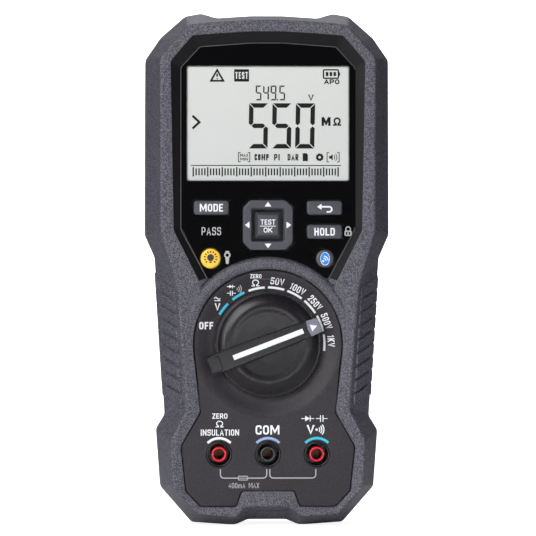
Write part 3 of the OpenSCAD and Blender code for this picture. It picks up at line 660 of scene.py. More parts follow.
def front_rings():
    """Rings of the front rubber, from the parting round over the rim and back inside."""
    lobes, top = LOWER_CORNERS, UPPER_CORNERS
    share = [i / WAIST_STEPS for i in range(1, WAIST_STEPS)]
    silhouette = ([c[0] for c in lobes] + [lerp(*WAIST_SILHOUETTE, t) for t in share]
                  + [c[0] for c in top])
    ridge = ([c[1] for c in lobes] + [lerp(*WAIST_RIDGE, t) for t in share] + [c[1] for c in top])
    edge = ([c[2] for c in lobes] + [waist_edge(t) for t in share]
            + [lerp(c[2], c[1], 0.24 if c[2][1] > 116 else 0) for c in top])
    foot = edge[:-len(top)] + [c[3] for c in top]
    low_count = len(lobes) + len(share)
    edge_y = [RAIL_Y] * low_count + [UPPER_EDGE_Y] * len(top)
    foot_y = [RAIL_Y + 1.2] * low_count + [BEZEL_Y + 0.25] * len(top)
    ridge_y = [SCOOP_Y] + [RIM_Y] * (low_count + len(top) - 1)

    def ring(half, depths, cut):
        corners = [(x, y, z) for (x, z), y in zip(half, depths)]
        corners += [(-x, y, z) for x, y, z in reversed(corners)]
        return rounded(corners, cut)

    def level(y):
        return [y] * len(silhouette)
    inner = inset(whole(silhouette), 3)[:len(silhouette)]
    return [
        ring(inset(whole(silhouette), 0.45)[:len(silhouette)], level(PARTING_Y - 0.02), 2),
        ring(silhouette, level(PARTING_Y - 0.45), 1.1),
        ring(silhouette, level(SHOULDER_Y), 1.1),
        ring(ridge, ridge_y, 1.2),
        ring(edge, edge_y, 1.0),
        ring(foot, foot_y, 0.9),
        ring(foot, [y + 1.5 for y in foot_y], 0.9),
        ring(inner, level(SHOULDER_Y + 1), 2),
        ring(inner, level(PARTING_Y - 0.02), 2),
    ]


def front_skin():
    rings = softened(front_rings(), [0, 0.3, 2.4, 0.9, 0.45, 0, 0, 0, 0], 4)
    casing = piece("front_skin", skin(rings + rings[:1]), "rubber_skin", "front_overmould",
                   sharp=50)
    # the inward faces of the rim's inner wall take the painted shade
    casing.data.materials.append(RIM_PAINTED_SHADE)
    for face in casing.data.polygons:
        x, y, z = face.center / MM
        inwards = face.normal.x * x + face.normal.z * (z - WINDOW[1]) < 0
        if z > RIM_SHADE_Z and RIM_SHADE_TOP < y < -18 and inwards:
            face.material_index = 1


def dial_arch():
    """Raised rib that arches over the dial and sinks into the rails at both ends."""
    profile = [(29.12, 0), (29.12, 0.95), (29.5, 1.45), (30.3, 1.8), (31.3, 2.05), (32.3, 2.0),
               (33.1, 1.6), (33.7, 0.9), (33.9, 0)]
    base_y = -19.4
    rings = []
    for i in range(97):
        angle = -8 + i * 196 / 96
        swell = 0.55 + 0.45 * smooth((90 - abs(angle - 90) - 4) / 34)
        section = [(r, base_y - height * swell) for r, height in profile]
        section += [(33.9, base_y + 1), (29.12, base_y + 1)]
        plan = [polar(DIAL, r, angle) for r, y in section]
        rings.append([(x, y, z) for (x, z), (r, y) in zip(plan, section)])
    piece("dial_arch", skin(rings, True, True), "rubber_skin", sharp=60)


def side_point(s, z, lift):
    """A point on the waist's chamfer (s 0 to 1) or its side wall (s 1 to 2), lifted off it."""
    t = (z - WAIST_SILHOUETTE[0][1]) / (WAIST_SILHOUETTE[1][1] - WAIST_SILHOUETTE[0][1])
    outer, inner = lerp(*WAIST_SILHOUETTE, t)[0], lerp(*WAIST_RIDGE, t)[0]
    slope = math.atan2(outer - inner, SHOULDER_Y - RIM_Y)
    if s <= 1:
        x, y = lerp((inner, RIM_Y), (outer, SHOULDER_Y), s)
        return (x + lift * math.cos(slope), y - lift * math.sin(slope), z)
    return (outer + lift, SHOULDER_Y + (s - 1) * 20, z)


GRIP_PITCH = 5.2       # from one pad of the side grip to the next
GRIP_HEIGHT = 4.1


def grip_tiles(name, side, starts, span, rise, lift):
    """Slanted pads of the side grip, from span[0] to span[1] across the side."""
    parts = []
    for z0 in starts:
        steps = [span[0] + (span[1] - span[0]) * i / 4 for i in range(5)]
        low = [(s, z0 + rise * (s - span[0])) for s in steps]
        high = [(s, z + GRIP_HEIGHT) for s, z in reversed(low)]
        outline = rounded(low + high, 0.35, 2)
        centre = tuple(sum(v) / len(outline) for v in zip(*outline))
        rings = [[side_point(*lerp(p, centre, shrink), level) for p in outline]
                 for shrink, level in ((0, -0.5), (0, lift * 0.45), (0.05, lift * 0.85),
                                       (0.1, lift))]
        points, faces = skin(rings, True, True)
        parts.append(([(x * side, y, z) for x, y, z in points], faces))
    piece(name, joined(parts), "rubber_skin", sharp=50)


def side_grips():
    for side, label in ((-1, "left"), (1, "right")):
        for part, low, count, span, rise, lift in (
                ("front", 47, 9, (0.17, 0.86), 5.5, 0.75), ("side", 50.5, 9, (1.06, 1.57), 5, 0.4),
                ("rear", 55, 8, (1.63, 1.98), 4, 0.4)):
            grip_tiles(f"{label}_{part}_grip", side, [low + GRIP_PITCH * i for i in range(count)],
                       span, rise, lift)


def rear_skin():
    silhouette, opening = zip(*REAR_CORNERS)

    def level(half, y, cut):
        return at_depth(rounded(whole(half), cut), y)

    def drawn_in(d):
        return inset(whole(silhouette), d)[:len(silhouette)]
    rings = [
        level(drawn_in(0.45), PARTING_Y + 0.02, 2),
        level(silhouette, PARTING_Y + 0.45, 1.1),
        level(silhouette, REAR_SHOULDER_Y, 1.1),
        level(drawn_in(5), BACK_Y, 1.8),
        level(opening, BACK_Y, 1.2),
        level(opening, BACK_Y - 1.6, 1.2),
        level(drawn_in(3), REAR_SHOULDER_Y, 2),
        level(drawn_in(3), PARTING_Y + 0.02, 2),
    ]
    rings = softened(rings, [0, 0.3, 2.4, 1.3, 0.5, 0, 0, 0], 4)
    piece("rear_skin", skin(rings + rings[:1]), "rubber_skin", "rear_overmould", sharp=50)


def back_pads():
    parts = []
    for side in (-1, 1):
        for x, z, w, h in ((35.6, 173, 8, 18), (33.9, 27, 4.6, 16)):
            x *= side
            parts.append(plate([rectangle((x, z), w, h, 1.8)], BACK_Y - 0.6, PAD_Y, 0.5))
            parts += [plate([rectangle((x, z - h / 2 + 3 + i * 3), w - 2.4, 0.9, 0.4, 3)],
                            PAD_Y - 0.5, PAD_Y + 0.2, 0.2) for i in range(int(h / 3) - 1)]
    piece("back_pads", joined(parts), "rubber_skin")


def on_back(profile, centre, segments):
    """A solid of revolution whose profile gives its height above the back."""
    return revolve([(r, BACK_Y + y) for r, y in profile], centre, segments)


def screw_surrounds():
    """Rings, floors and heads of the two screw wells, with dark bars of painted shade for the
    heads' cross recesses.
    """
    ring = soft_profile([(3.6, -1), (3.6, 0.35), (4.8, 0.35), (5.1, -1), (3.6, -1)], 0.2)
    disc = [(0, 0.03), (3.65, 0.03), (3.65, -0.5), (0, -0.5)]
    dome = [(0, 0.5), (1.4, 0.45), (2.3, 0.25), (2.8, 0.0), (2.8, -0.5), (0, -0.5)]
    for name, profile, segments, slot in (
            ("screw_surrounds", ring, 48, "rubber_skin"),
            ("screw_well_floors", disc, 48, "seal_rubber"),
            ("screw_heads", dome, 40, "screw_steel")):
        piece(name, joined([on_back(profile, p, segments) for p in CASE_SCREWS]), slot)
    # painted shade: dark bars where the cross recesses would be in shadow
    recess_shades = []
    for centre in CASE_SCREWS:
        for turn in (20, 110):
            bar = turned([(-1.5, -0.22), (1.5, -0.22), (1.5, 0.22), (-1.5, 0.22)], turn, centre)
            recess_shades.append(skin([at_depth(bar, BACK_Y + 0.3), at_depth(bar, BACK_Y + 0.54)],
                              True, True))
    piece("screw_recess_painted_shade", joined(recess_shades), "chip_black", material=INKS["dark"])


def back_plate():
    """Hard plastic of the back, round the battery door and the work light."""
    light = rectangle(WORK_LIGHT, 18, 8, 2)
    door = rounded(inset(whole(DOOR), -0.3), 0.8)
    opening = rounded(inset(whole(BACK_WINDOW), 0.25), 1.2)
    parts = [plate([opening, light, door], BACK_Y - 1, BACK_Y + 0.03, 0.22)]
    for z in (136, 140, 144, 148):
        rib = rectangle((0, z), 46 - abs(z - 142) * 1.6, 1.2, 0.5, 3)
        parts.append(plate([rib], BACK_Y - 0.4, BACK_Y + 0.35, 0.25))
    piece("back_plate", joined(parts), "shell_plastic")
    rim = [rectangle(WORK_LIGHT, 20.4, 10.4, 2.6), light]
    piece("light_rim", plate(rim, BACK_Y - 0.3, BACK_Y + 0.4, 0.25), "bezel_gloss")
    lens = plate([rectangle(WORK_LIGHT, 17.8, 7.8, 1.9)], BACK_Y - 1.8, BACK_Y - 0.2, 0.3)
    piece("light_window_lens", lens, "light_pipe", "light_window",
          material=clear_finish("light_lens", (0.8, 0.88, 0.95), 0.25))


# ---- display ----

def bezel():
    half = rounded([(6, 150)] + BEZEL[1:], 0.9)
    right = [(23.3, 95.6)] + half[5:-5] + [(6, 188.0)]
    arch = arc(DIAL, ARCH_R + 0.12, 133.4, 46.6, 40)
    outline = whole(right) + arch[1:-1]
    holes = [rectangle(WINDOW, *WINDOW_SIZE, 1)]
    holes += [rectangle(p, 14.5, 6.3, 1.5) for p in (MODE, RETURN, HOLD)]
    holes += [octagon(NAV, 20.4, 3.2, 0.6), circle(LIGHT, 4.2), circle(WIRELESS, 3.9)]
    piece("bezel", plate([outline] + holes, BEZEL_Y, SEAT_Y, 0.16), "bezel_gloss", "face_bezel")


def display():
    w, h = WINDOW_SIZE
    lens = plate([rectangle(WINDOW, w - 0.1, h - 0.1, 1)], BEZEL_Y + 0.15, BEZEL_Y + 1.1, 0.1)
    piece("window_lens", lens, "lens_clear", "display_lens")
    glass = plate([rectangle(WINDOW, 64, 45.6, 0.3)], GLASS_Y, -14.5, 0.1)
    piece("lcd_panel", glass, "lcd_glass", "display_cell")
    ink("lcd_marks", lcd_marks(), GLASS_Y, LCD_INK, slot="chip_black")
    ink("lcd_inverse_word", [lettering("TEST", TEST_BOX, 2.7, 4.9, 0.16)], GLASS_Y - INK,
        slot="white_plastic")
    border = [rectangle(WINDOW, 66, 47.4, 1), rectangle(WINDOW, 62.4, 43.9, 0.9)]
    piece("window_border", plate(border, BEZEL_Y + 1.2, GLASS_Y, 0.08), "white_plastic",
          material=finish("border_grey", (0.36, 0.37, 0.36), 0.5, 0.5, 0.006, 0.05))


TEST_BOX = (-10.2, 175.3)
SEGMENTS = {"0": "abcdef", "5": "acdfg", "4": "bcfg", "9": "abcdfg"}
SLANT = 0.02           # how far a digit leans, as a share of its height


def digit(character, low, w, h, t):
    """A seven-segment digit with mitred segments."""
    g, m = t * 0.12, h / 2
    bars = {
        "a": [(g, h), (w - g, h), (w - t - g, h - t), (t + g, h - t)],
        "d": [(t + g, t), (w - t - g, t), (w - g, 0), (g, 0)],
        "g": [(t * 0.6, m), (t + g, m + t / 2), (w - t - g, m + t / 2), (w - t * 0.6, m),
              (w - t - g, m - t / 2), (t + g, m - t / 2)],
        "f": [(0, h - g), (t, h - t - g), (t, m + t / 2 + g), (t / 2, m + g), (0, m + t / 2)],
        "e": [(0, g), (0, m - t / 2), (t / 2, m - g), (t, m - t / 2 - g), (t, t + g)],
    }
    bars["b"] = [(w - x, z) for x, z in bars["f"]]
    bars["c"] = [(w - x, z) for x, z in bars["e"]]
    return [patch([(low[0] + x + SLANT * z, low[1] + z) for x, z in bars[s]])
            for s in SEGMENTS[character]]


def waves(centre, radii, width, spread_angle=42):
    return [stroke(arc(centre, r, -spread_angle, spread_angle, 8), width) for r in radii]


def gear(centre, r, teeth=8):
    steps = teeth * 4
    return stroke([polar(centre, r if i % 4 in (0, 1) else r * 0.74, 360 * (i + 0.5) / steps)
                   for i in range(steps)], r * 0.6, True)


def brackets(x0, x1, z, width=0.32, reach=1.8, arm=0.8):
    """A pair of square brackets that face each other."""
    return [stroke([(x + a, z + reach), (x, z + reach), (x, z - reach), (x + a, z - reach)], width)
            for x, a in ((x0, arm), (x1, -arm))]


def lcd_marks():
    parts = []
    for i, character in enumerate("550"):
        parts += digit(character, (-7.6 + 9.1 * i, 146.9), 7.5, 17.6, 1.75)
    for x, character in zip((-4.8, -1.9, 1.0, 4.4), "5495"):
        parts += digit(character, (x, 165.6), 2.3, 5.8, 0.55)
    parts += [
        patch(rectangle((3.75, 165.9), 0.55, 0.55, 0.1, 1)),
        lettering("V", (16.8, 166.7), 2.5, 2.1),
        lettering("M", (22.7, 157.4), 3.4, 3.5, 0.28),
        lettering(OHM, (27, 157.4), 3.3, 3.2),
        stroke([(-29.3, 159.6), (-26.6, 157.1), (-29.3, 154.6)], 0.9),
        stroke([(-22.1, 173.2), (-17.3, 173.2), (-19.7, 177.4)], 0.72, True),
        stroke([(-19.7, 176.0), (-19.7, 174.8)], 0.65),
        patch(circle((-19.7, 174.05), 0.28, 10)),
        patch(rectangle(TEST_BOX, 5.8, 4.8, 0.2, 2)),
        stroke(rectangle((24.6, 175.9), 5.8, 3.3, 0.4, 2), 0.55, True),
    ]
    parts += [patch(rectangle((23.1 + 1.5 * i, 175.9), 1.0, 1.6, 0.1, 1)) for i in range(3)]
    parts += [patch(rectangle((27.85, 175.9), 0.6, 1.3, 0.1, 1)),
              lettering("APO", (24.9, 172.9), 1.9, 6.0, 0.24)]
    z = 143.5
    parts += brackets(-11.4, -7, z)
    parts += [
        lettering("MAX", (-9.2, z + 0.75), 1.15, 3.2),
        lettering("MIN", (-9.2, z - 0.75), 1.15, 3.0),
        lettering("COMP", (-2.4, z), 2.5, 5.5, 0.19),
        lettering("PI", (3.5, z), 2.5, 2.1),
        lettering("DAR", (9.8, z), 2.5, 4.2, 0.19),
        patch([(13.6, z - 1.5), (15.6, z - 1.5), (15.6, z + 1), (15, z + 1.6), (13.6, z + 1.6)]),
        gear((20.2, z), 1.15),
    ]
    parts += brackets(23.1, 27.8, z)
    parts.append(patch([(23.9, z - 0.5), (24.5, z - 0.5), (25.3, z - 1.2), (25.3, z + 1.2),
                        (24.5, z + 0.5), (23.9, z + 0.5)]))
    parts += waves((24.9, z), (1.2, 2), 0.28)
    parts.append(patch(rectangle((-0.7, 140.3), 58.4, 0.34, 0.05, 1)))
    for i in range(51):
        x = -29 + i * 56.4 / 50
        parts.append(patch(rectangle((x, 137.8), 0.56, 3.6 if i % 5 == 0 else 2.7, 0.05, 1)))
    return parts


# ---- keys ----

KEY_BACK_Y = SEAT_Y + 0.8
ROUND_INK_Y = -20.46   # the marks on the round keys

def key_cap(name, solid, slot="key_grey"):
    piece(name + "_cap", solid, slot, name, name)


def bar_key(name, centre, parts):
    key_cap(name, button(rectangle(centre, 13.9, 5.7, 1.4), KEY_BACK_Y, -20.55, 0.75, 0.08))
    ink(name + "_legend", parts, -20.64, body=name)


def return_arrow(centre):
    x, z = centre
    hook = [(x - 1.5, z + 0.4)] + arc((x + 1.8, z - 0.6), 1.0, 90, -90, 10)
    return [stroke(hook + [(x + 0.8, z - 1.6)], 0.62),
            patch([(x - 2.9, z + 0.4), (x - 1.2, z + 1.55), (x - 1.2, z - 0.75)])]


def round_key(name, centre, r, slot):
    profile = [(0, KEY_BACK_Y), (r, KEY_BACK_Y), (r, -19.7), (r - 0.12, -20.05),
               (r - 0.45, -20.28), (r - 1, -20.38), (r * 0.4, -20.42), (0, -20.43)]
    key_cap(name, revolve(profile, centre, 64), slot)


def keys():
    bar_key("mode_key", MODE, [lettering("MODE", MODE, 3.0, 9.0, 0.175)])
    bar_key("hold_key", HOLD, [lettering("HOLD", HOLD, 3.0, 8.0, 0.18)])
    bar_key("return_key", RETURN, return_arrow(RETURN))
    round_key("light_key", LIGHT, 3.9, "key_yellow")
    x, z = LIGHT
    globe = arc((x, z + 0.35), 1.35, -60, 240, 20)
    bulb = [patch(globe + [(x - 0.5, z - 1.0), (x + 0.5, z - 1.0)]),
            patch(rectangle((x, z - 1.45), 0.9, 0.6, 0.15, 2))]
    bulb += [stroke([polar((x, z + 0.3), r, -45 + i * 27) for r in (1.9, 2.7)], 0.48)
             for i in range(11)]
    ink("light_legend", bulb, ROUND_INK_Y, INKS["dark"], "light_key")
    round_key("wireless_key", WIRELESS, 3.6, "key_grey")
    x, z = WIRELESS
    oval = [(x + 1.75 * math.cos(a), z + 2.5 * math.sin(a)) for a in
            (math.tau * i / 40 for i in range(40))]
    ink("wireless_oval", [patch(oval)], ROUND_INK_Y, INKS["blue"], "wireless_key")
    source = (x - 0.75, z - 0.95)
    marks = [patch(circle(source, 0.42, 14)), stroke(oval, 0.2, True)]
    marks += [stroke(arc(source, r, 8, 82, 8), 0.42) for r in (1.15, 2.0)]
    ink("wireless_waves", marks, ROUND_INK_Y - 2 * INK, body="wireless_key")


def nav_keys():
    cap = plate([octagon(NAV, 19.6, 3, 0.8), rectangle(NAV, 12.6, 12.6, 0.8)], -20.45, -17.6,
                0.55, 4)
    key_cap("nav_ring", cap)
    arrow = [(1.3, -0.85), (0, 1.0), (-1.3, -0.85)]
    ink("nav_arrows", [patch(turned(arrow, turn, polar(NAV, 8.05, turn + 90)))
                       for turn in (0, 90, 180, 270)], -20.47, body="nav_ring")
    base, top = rectangle(NAV, 10, 10, 0.9), rectangle(NAV, 7.7, 7.7, 0.8)
    rings = [at_depth(base, -16.9), at_depth(base, -19.15), at_depth(top, -20.35),
             at_depth([lerp(p, NAV, 0.5) for p in top], -20.37)]
    key_cap("test_key", skin(softened(rings, [0, 0.35, 0.35, 0]), True, True))
    x, z = NAV
    marks = [lettering("TEST", (x, z + 1.15), 2.0, 5.7, 0.16),
             lettering("OK", (x, z - 1.95), 1.95, 3.4, 0.17),
             stroke([(x - 3.1, z - 0.42), (x + 3.1, z - 0.42)], 0.26)]
    ink("test_legend", marks, -20.39, body="test_key")


# ---- dial and selector ----

DISH_DEPTH = 2.1
DISH_R = 21.4          # where the dish is deepest, at the knob's edge
RANGE_R = 22.05        # the printed bars of the ranges


def dish_y(r):
    return PANEL_Y + DISH_DEPTH * (1 - smooth((r - DISH_R) / (DIAL_R - 0.1 - DISH_R)))


def panel_surface(x, z):
    return dish_y(math.dist((x, z), DIAL))


def lower_face():
    """The panel of the dial and the jacks, dished round the knob."""
    side = rounded([(0, 13.7)] + PANEL + [(28.4, 66)], 1.1)[5:-5]
    inner, outer = DISH_R - 0.1, DIAL_R - 0.45
    right = [(0, 13.7)] + inset(side, 0.38) + [polar(DIAL, outer, -8.9)]
    outline = right + arc(DIAL, DIAL_R - 0.5, -8.9, -171.1, 60) + whole(right)[len(right):-1]
    flat = plate([outline] + [circle(p, 5.05) for p in JACKS], PANEL_Y, SEAT_Y, 0.2)
    steps = 14
    slope = [DISH_R + (outer - DISH_R) * i / steps for i in range(steps + 1)]
    profile = [(inner, SEAT_Y), (inner, dish_y(DISH_R))] + [(r, dish_y(r) - 0.004) for r in slope]
    dish = revolve(profile + [(outer, SEAT_Y), (inner, SEAT_Y)], DIAL, 120)
    piece("lower_face", joined([flat, dish]), "panel_plastic", "lower_panel", sharp=30)


def knob():
    disc = [(0, -19.2), (20.3, -19.2), (20.6, -19.8), (20.6, -20.9), (20.35, -21.3),
            (19.9, -21.2), (19.5, -21.35), (18.4, -22.1), (17.0, -22.75), (15.6, -23.15),
            (14.6, -23.22), (13.6, -23.15), (12.4, -22.95), (7, -22.75), (0, -22.7)]
    grip = [(-24.6, -3.3), (-20, -3.9), (0, -3.7), (17, -3.2), (21.4, -2.8)]
    grip = grip + [(x, -z) for x, z in reversed(grip)]
    collar = [(-18.6, -4.35), (14.9, -3.5), (14.9, 3.5), (-18.6, 4.35)]
    bars = [plate([rounded(grip, 0.7, 4)], -24.5, -20.9, 0.45, 4),
            plate([rectangle((-21.9, 0), 4.6, 6.3, 1.1)], -24.85, -24.2, 0.3),
            plate([rounded(collar, 0.8)], -23.2, -21.6, 0.3)]
    for side in (-1, 1):
        for i in range(22):
            x = -17.6 + i * 1.5
            rib = circle((x, side * (3.95 - 0.035 * (x + 20) + 0.1)), 0.52, 12)
            bars.append(plate([rib], -23.75, -21.6, 0.15, 2))
    shape = joined([revolve(soft_profile(disc, 0.5, 4), DIAL, 120)] + [on_knob(b) for b in bars])
    piece("knob", shape, "knob_plastic", "selector_knob", "selector")
    tip = [(16.8, -3.25), (21.4, -2.8), (21.4, 2.8), (16.8, 3.25), (16.3, 0)]
    piece("knob_tip", on_knob(plate([rounded(tip, 0.3)], -24.66, -22.4, 0.25)), "pointer_grey",
          "knob_pointer", "selector")
    stripe = plate([rectangle((0, 0), 29, 2.0, 0.15, 2)], -24.58, -24, 0.06)
    piece("knob_line", on_knob(stripe), "stripe_white", "knob_stripe", "selector")
    mark = turned([(20.2, 0), (17.7, 1.4), (17.7, -1.4)], POINTER_ANGLE, DIAL)
    ink("knob_arrow", [patch(mark)], -24.67, body="selector")


def dial_word(word, place, height, width):
    """A word on the dial, turned so that its foot is towards the knob."""
    turn = math.degrees(math.atan2(place[1], place[0])) - 90
    at = (DIAL[0] + place[0], DIAL[1] + place[1])
    return lettering(word, at, height, width, 0.155, turn)


def diode(at, size):
    x, z = at
    half, bar = size * 0.6, x + size * 0.55
    return [patch([(x - size * 0.5, z - half), (x - size * 0.5, z + half), (x + size * 0.45, z)]),
            stroke([(bar, z - half), (bar, z + half)], 0.3),
            stroke([(x - size * 1.3, z), (x + size * 1.4, z)], 0.3)]


def capacitor(at, size):
    x, z = at
    near, far, half = size * 0.25, size * 1.15, size * 0.65
    return ([stroke([(x + s * near, z - half), (x + s * near, z + half)], 0.36) for s in (-1, 1)]
            + [stroke([(x + s * near, z), (x + s * far, z)], 0.3) for s in (-1, 1)])


def dial_legends():
    words = [("50V", (3.7, 24.3), 5.3), ("100V", (11.6, 21.4), 6.2), ("250V", (18.4, 16.1), 6.2),
             ("500V", (22.8, 8.9), 6.2), ("1KV", (24.6, 1.2), 4.5)]
    parts = [dial_word(word, place, 2.7, width) for word, place, width in words]
    x, z = DIAL
    parts += [lettering("OFF", (x - 24.0, z + 7.2), 2.9, 5.5),
              lettering("V", (x - 19.6, z + 14.5), 2.8, 2.1),
              stroke([(x - 20.9, z + 16.9), (x - 18.5, z + 16.9)], 0.34)]
    wave = [(x - 20.9 + 0.3 * i, z + 17.8 + 0.4 * math.sin(i * math.tau / 8)) for i in range(9)]
    parts.append(stroke(wave, 0.34))
    parts += diode((x - 14.4, z + 22.4), 1.15) + capacitor((x - 14.2, z + 19.8), 1.5)
    parts += [lettering("ZERO", (x - 4.7, z + 26.4), 1.6, 4.4, 0.18),
              lettering(OHM, (x - 4.8, z + 23.8), 2.7, 3.1, 0.15)]
    parts += [stroke(arc(DIAL, RANGE_R, a - 8.3, a + 8.3, 10), 0.85)
              for a in (101.5, 81.5, 61.5, 41.5, 21.5, 1.5)]
    ink("dial_legends", parts, panel_surface)
    ink("dial_sound_mark", waves((x - 12.6, z + 21.4), (0.7, 1.5, 2.3), 0.36), panel_surface,
        INKS["grey"])
    ink("dial_blue_bars", [stroke(arc(DIAL, RANGE_R, a - 7, a + 7, 10), BAR)
                           for a in (141.5, 121.5)], panel_surface, INKS["cyan"])


# ---- jacks ----

def jacks():
    face = PANEL_Y - 0.15
    shroud = soft_profile([(4.2, -1), (4.2, -20.1), (4.4, face), (4.8, face),
                           (4.98, PANEL_Y + 0.2), (4.98, 0), (4.2, 0)], 0.2)
    shroud.append(shroud[0])
    foot = [(2.6, -0.6), (5, -0.6), (5, 3), (2.6, 3), (2.6, -0.6)]
    piece("jack_shrouds", joined([revolve(shroud, p, 64) for p in JACKS]
                                 + [revolve(foot, p, 48) for p in JACKS]),
          "jack_black", "jack_housing")
    sleeve = soft_profile([(2.0, -16), (2.0, -19.3), (2.25, -19.75), (2.75, -19.75),
                           (3.0, -19.4), (3.0, 0), (2.6, 0), (2.6, -16)], 0.18)
    sleeve.append(sleeve[0])
    for place, name, slot in zip(JACKS, ("insulation", "common", "voltage"),
                                 ("jack_red", "jack_grey", "jack_red")):
        piece(name + "_sleeve_ring", revolve(sleeve, place, 64), slot, name + "_sleeve")


def jack_legends():
    sound = (18.9, 37.6)
    arcs = [stroke(arc(place, 6.3, 45, 135, 18), BAR) for place in JACKS]
    parts = [lettering("ZERO", (-18.7, 42.9), 2.05, 5.9, 0.17),
             lettering(OHM, (-18.8, 39.8), 2.6, 3.1, 0.14),
             lettering("INSULATION", (-18.7, 36.5), 2.4, 14.9, 0.155),
             lettering("COM", (-0.2, 37.5), 3.6, 9.3, 0.185),
             lettering("V", (16.6, 37.6), 3.6, 2.9, 0.21), patch(circle(sound, 0.5, 16))]
    parts += waves(sound, (1.25, 2.05, 2.85), 0.42)
    parts += diode((15.4, 41.9), 1.85) + capacitor((20.9, 41.9), 1.95) + arcs[:1]
    ink("jack_legends", parts, PANEL_Y)
    ink("common_jack_arc", arcs[1:2], PANEL_Y, INKS["pale_blue"])
    ink("voltage_jack_arc", arcs[2:], PANEL_Y, INKS["cyan"])
    low, high, bend = 18.8, 22.3, 1.4

    def foot_of(x, start):
        return arc((x, low + bend), bend, start, start + 90, 6)
    marks = [stroke(path, 0.42) for path in (
        [(-18.5, high)] + foot_of(-17.1, 180) + [(-11.4, low)],
        [(-8, low)] + foot_of(-1.9, 270) + [(-0.5, high)],
        [(0.7, high)] + foot_of(2.1, 180) + foot_of(17.2, 270) + [(18.6, high)])]
    marks += [stroke(rectangle((-9.7, low), 3.6, 1.5, 0.3, 2), 0.32, True),
              stroke([(-11.4, low), (-8, low)], 0.3),
              lettering("400mA MAX", (-9.4, 15.9), 2.05, 11.9, 0.11)]
    ink("jack_links", marks, PANEL_Y, INKS["grey"])


def bezel_legends():
    x, z = -15.8, 104.4
    torch = [stroke(circle((x, z + 1.0), 0.95, 20), 0.6, True),
             patch(rectangle((x, z + 2.35), 1.5, 0.5, 0.15, 2)),
             patch([(x - 0.75, z - 0.1), (x + 0.75, z - 0.1), (x + 0.5, z - 2.4),
                    (x - 0.5, z - 2.4)])]
    x, z = 31.2, 113.9
    lock = [stroke(rectangle((x, z), 2.3, 1.6, 0.3, 2), 0.5, True),
            patch(rectangle((x, z), 0.5, 0.9, 0.1, 2)),
            stroke([(x - 0.85, z + 0.9), (x - 0.85, z + 1.7)] + arc((x, z + 1.7), 0.85, 170, 10, 8)
                   + [(x + 0.85, z + 0.9)], 0.42)]
    parts = torch + lock + [lettering("PASS", (-22.0, 114.7), 3.1, 7.6, 0.13)]
    ink("bezel_marks", parts, BEZEL_Y, INKS["grey"])
    # painted highlight along the bezel's edge, drawn as a pale stroke
    edge = inset(rounded(whole(BEZEL), 0.8), 0.25)
    outside = [p for p in edge if math.dist(p, DIAL) > ARCH_R + 0.3]
    turn = max(range(len(outside)), key=lambda i: math.dist(outside[i - 1], outside[i]))
    line = outside[turn:] + outside[:turn]
    ink("bezel_painted_highlight", [stroke(line, 0.32)], BEZEL_Y, BEZEL_PAINTED_HIGHLIGHT, slot="bezel_gloss")


# ---- door and stand ----

def battery_door():
    recess = rounded([(-20.1, 22), (-8, 22), (-8, 17.5), (8, 17.5), (8, 22), (20.1, 22),
                      (20.1, 114.5), (-20.1, 114.5)], 0.6)
    door = rounded(whole(DOOR), 0.9)
    wells = [circle(p, 3.5, 40) for p in FASTENERS]
    floor_y = 21.4
    parts = [plate([door, recess] + wells, floor_y, BACK_Y, 0.3),
             plate([inset(door, 0.05)], 19.85, floor_y),
             plate([inset(recess, -0.2)], floor_y - 0.2, floor_y + 0.2)]
    for i in range(9):
        for side in (-1, 1):
            rib = turned(rectangle((0, 0), 5.4, 1.3, 0.5, 3), side * 28,
                         (side * 25.6, 34 + i * 6.2))
            parts.append(plate([rib], 22.6, BACK_Y + 0.3, 0.25))
    piece("door_panel", joined(parts), "shell_plastic", "battery_door", "battery_door")


def tilt_stand():
    outline = rounded(whole([(12, 22.4), (16.6, 27), (19.6, 50), (19.6, 111.4)]), 1.4)
    window = rounded([(-9, 62), (9, 62), (11, 98), (-11, 98)], 2)
    foot_y = 21.85
    parts = [plate([outline, window], foot_y, 24.1, 0.5),
             plate([inset(window, -0.3)], foot_y, 22.9)]
    parts += [plate([rectangle((0, 30 + i * 3.6), 17 + i * 1.4, 1.4, 0.6, 3)], 23.6, 24.45, 0.35)
              for i in range(5)]
    points, faces = revolve(soft_profile([(0, -19.6), (1.9, -19.6), (1.9, 19.6), (0, 19.6)], 0.3),
                            (0, 0), 40)
    parts.append(([(y, HINGE_Y + x, HINGE_Z + z) for x, y, z in points], faces))
    piece("stand_leaf", joined(parts), "shell_plastic", "tilt_stand", "tilt_stand")


# ---- studio ----

def aimed(obj, place, direction):
    obj.location = place
    obj.rotation_mode = "QUATERNION"
    obj.rotation_quaternion = direction.to_track_quat("-Z", "Y")


def area_light(name, place, target, size, power):
    data = bpy.data.lights.new(name, "AREA")
    data.shape = "RECTANGLE"
    data.size, data.size_y = size
    data.energy = power
    aimed(in_scene(name, data), place, Vector(target) - Vector(place))


def by_ray(tree, lit, seen, output):
    """Shows the camera one shader and the other rays, which light the tester, another."""
    choose = tree.nodes.new("ShaderNodeMixShader")
    path = tree.nodes.new("ShaderNodeLightPath")
    tree.links.new(path.outputs["Is Camera Ray"], choose.inputs["Fac"])
    tree.links.new(lit, choose.inputs[1])
    tree.links.new(seen, choose.inputs[2])
    tree.links.new(choose.outputs["Shader"], tree.nodes[output].inputs["Surface"])


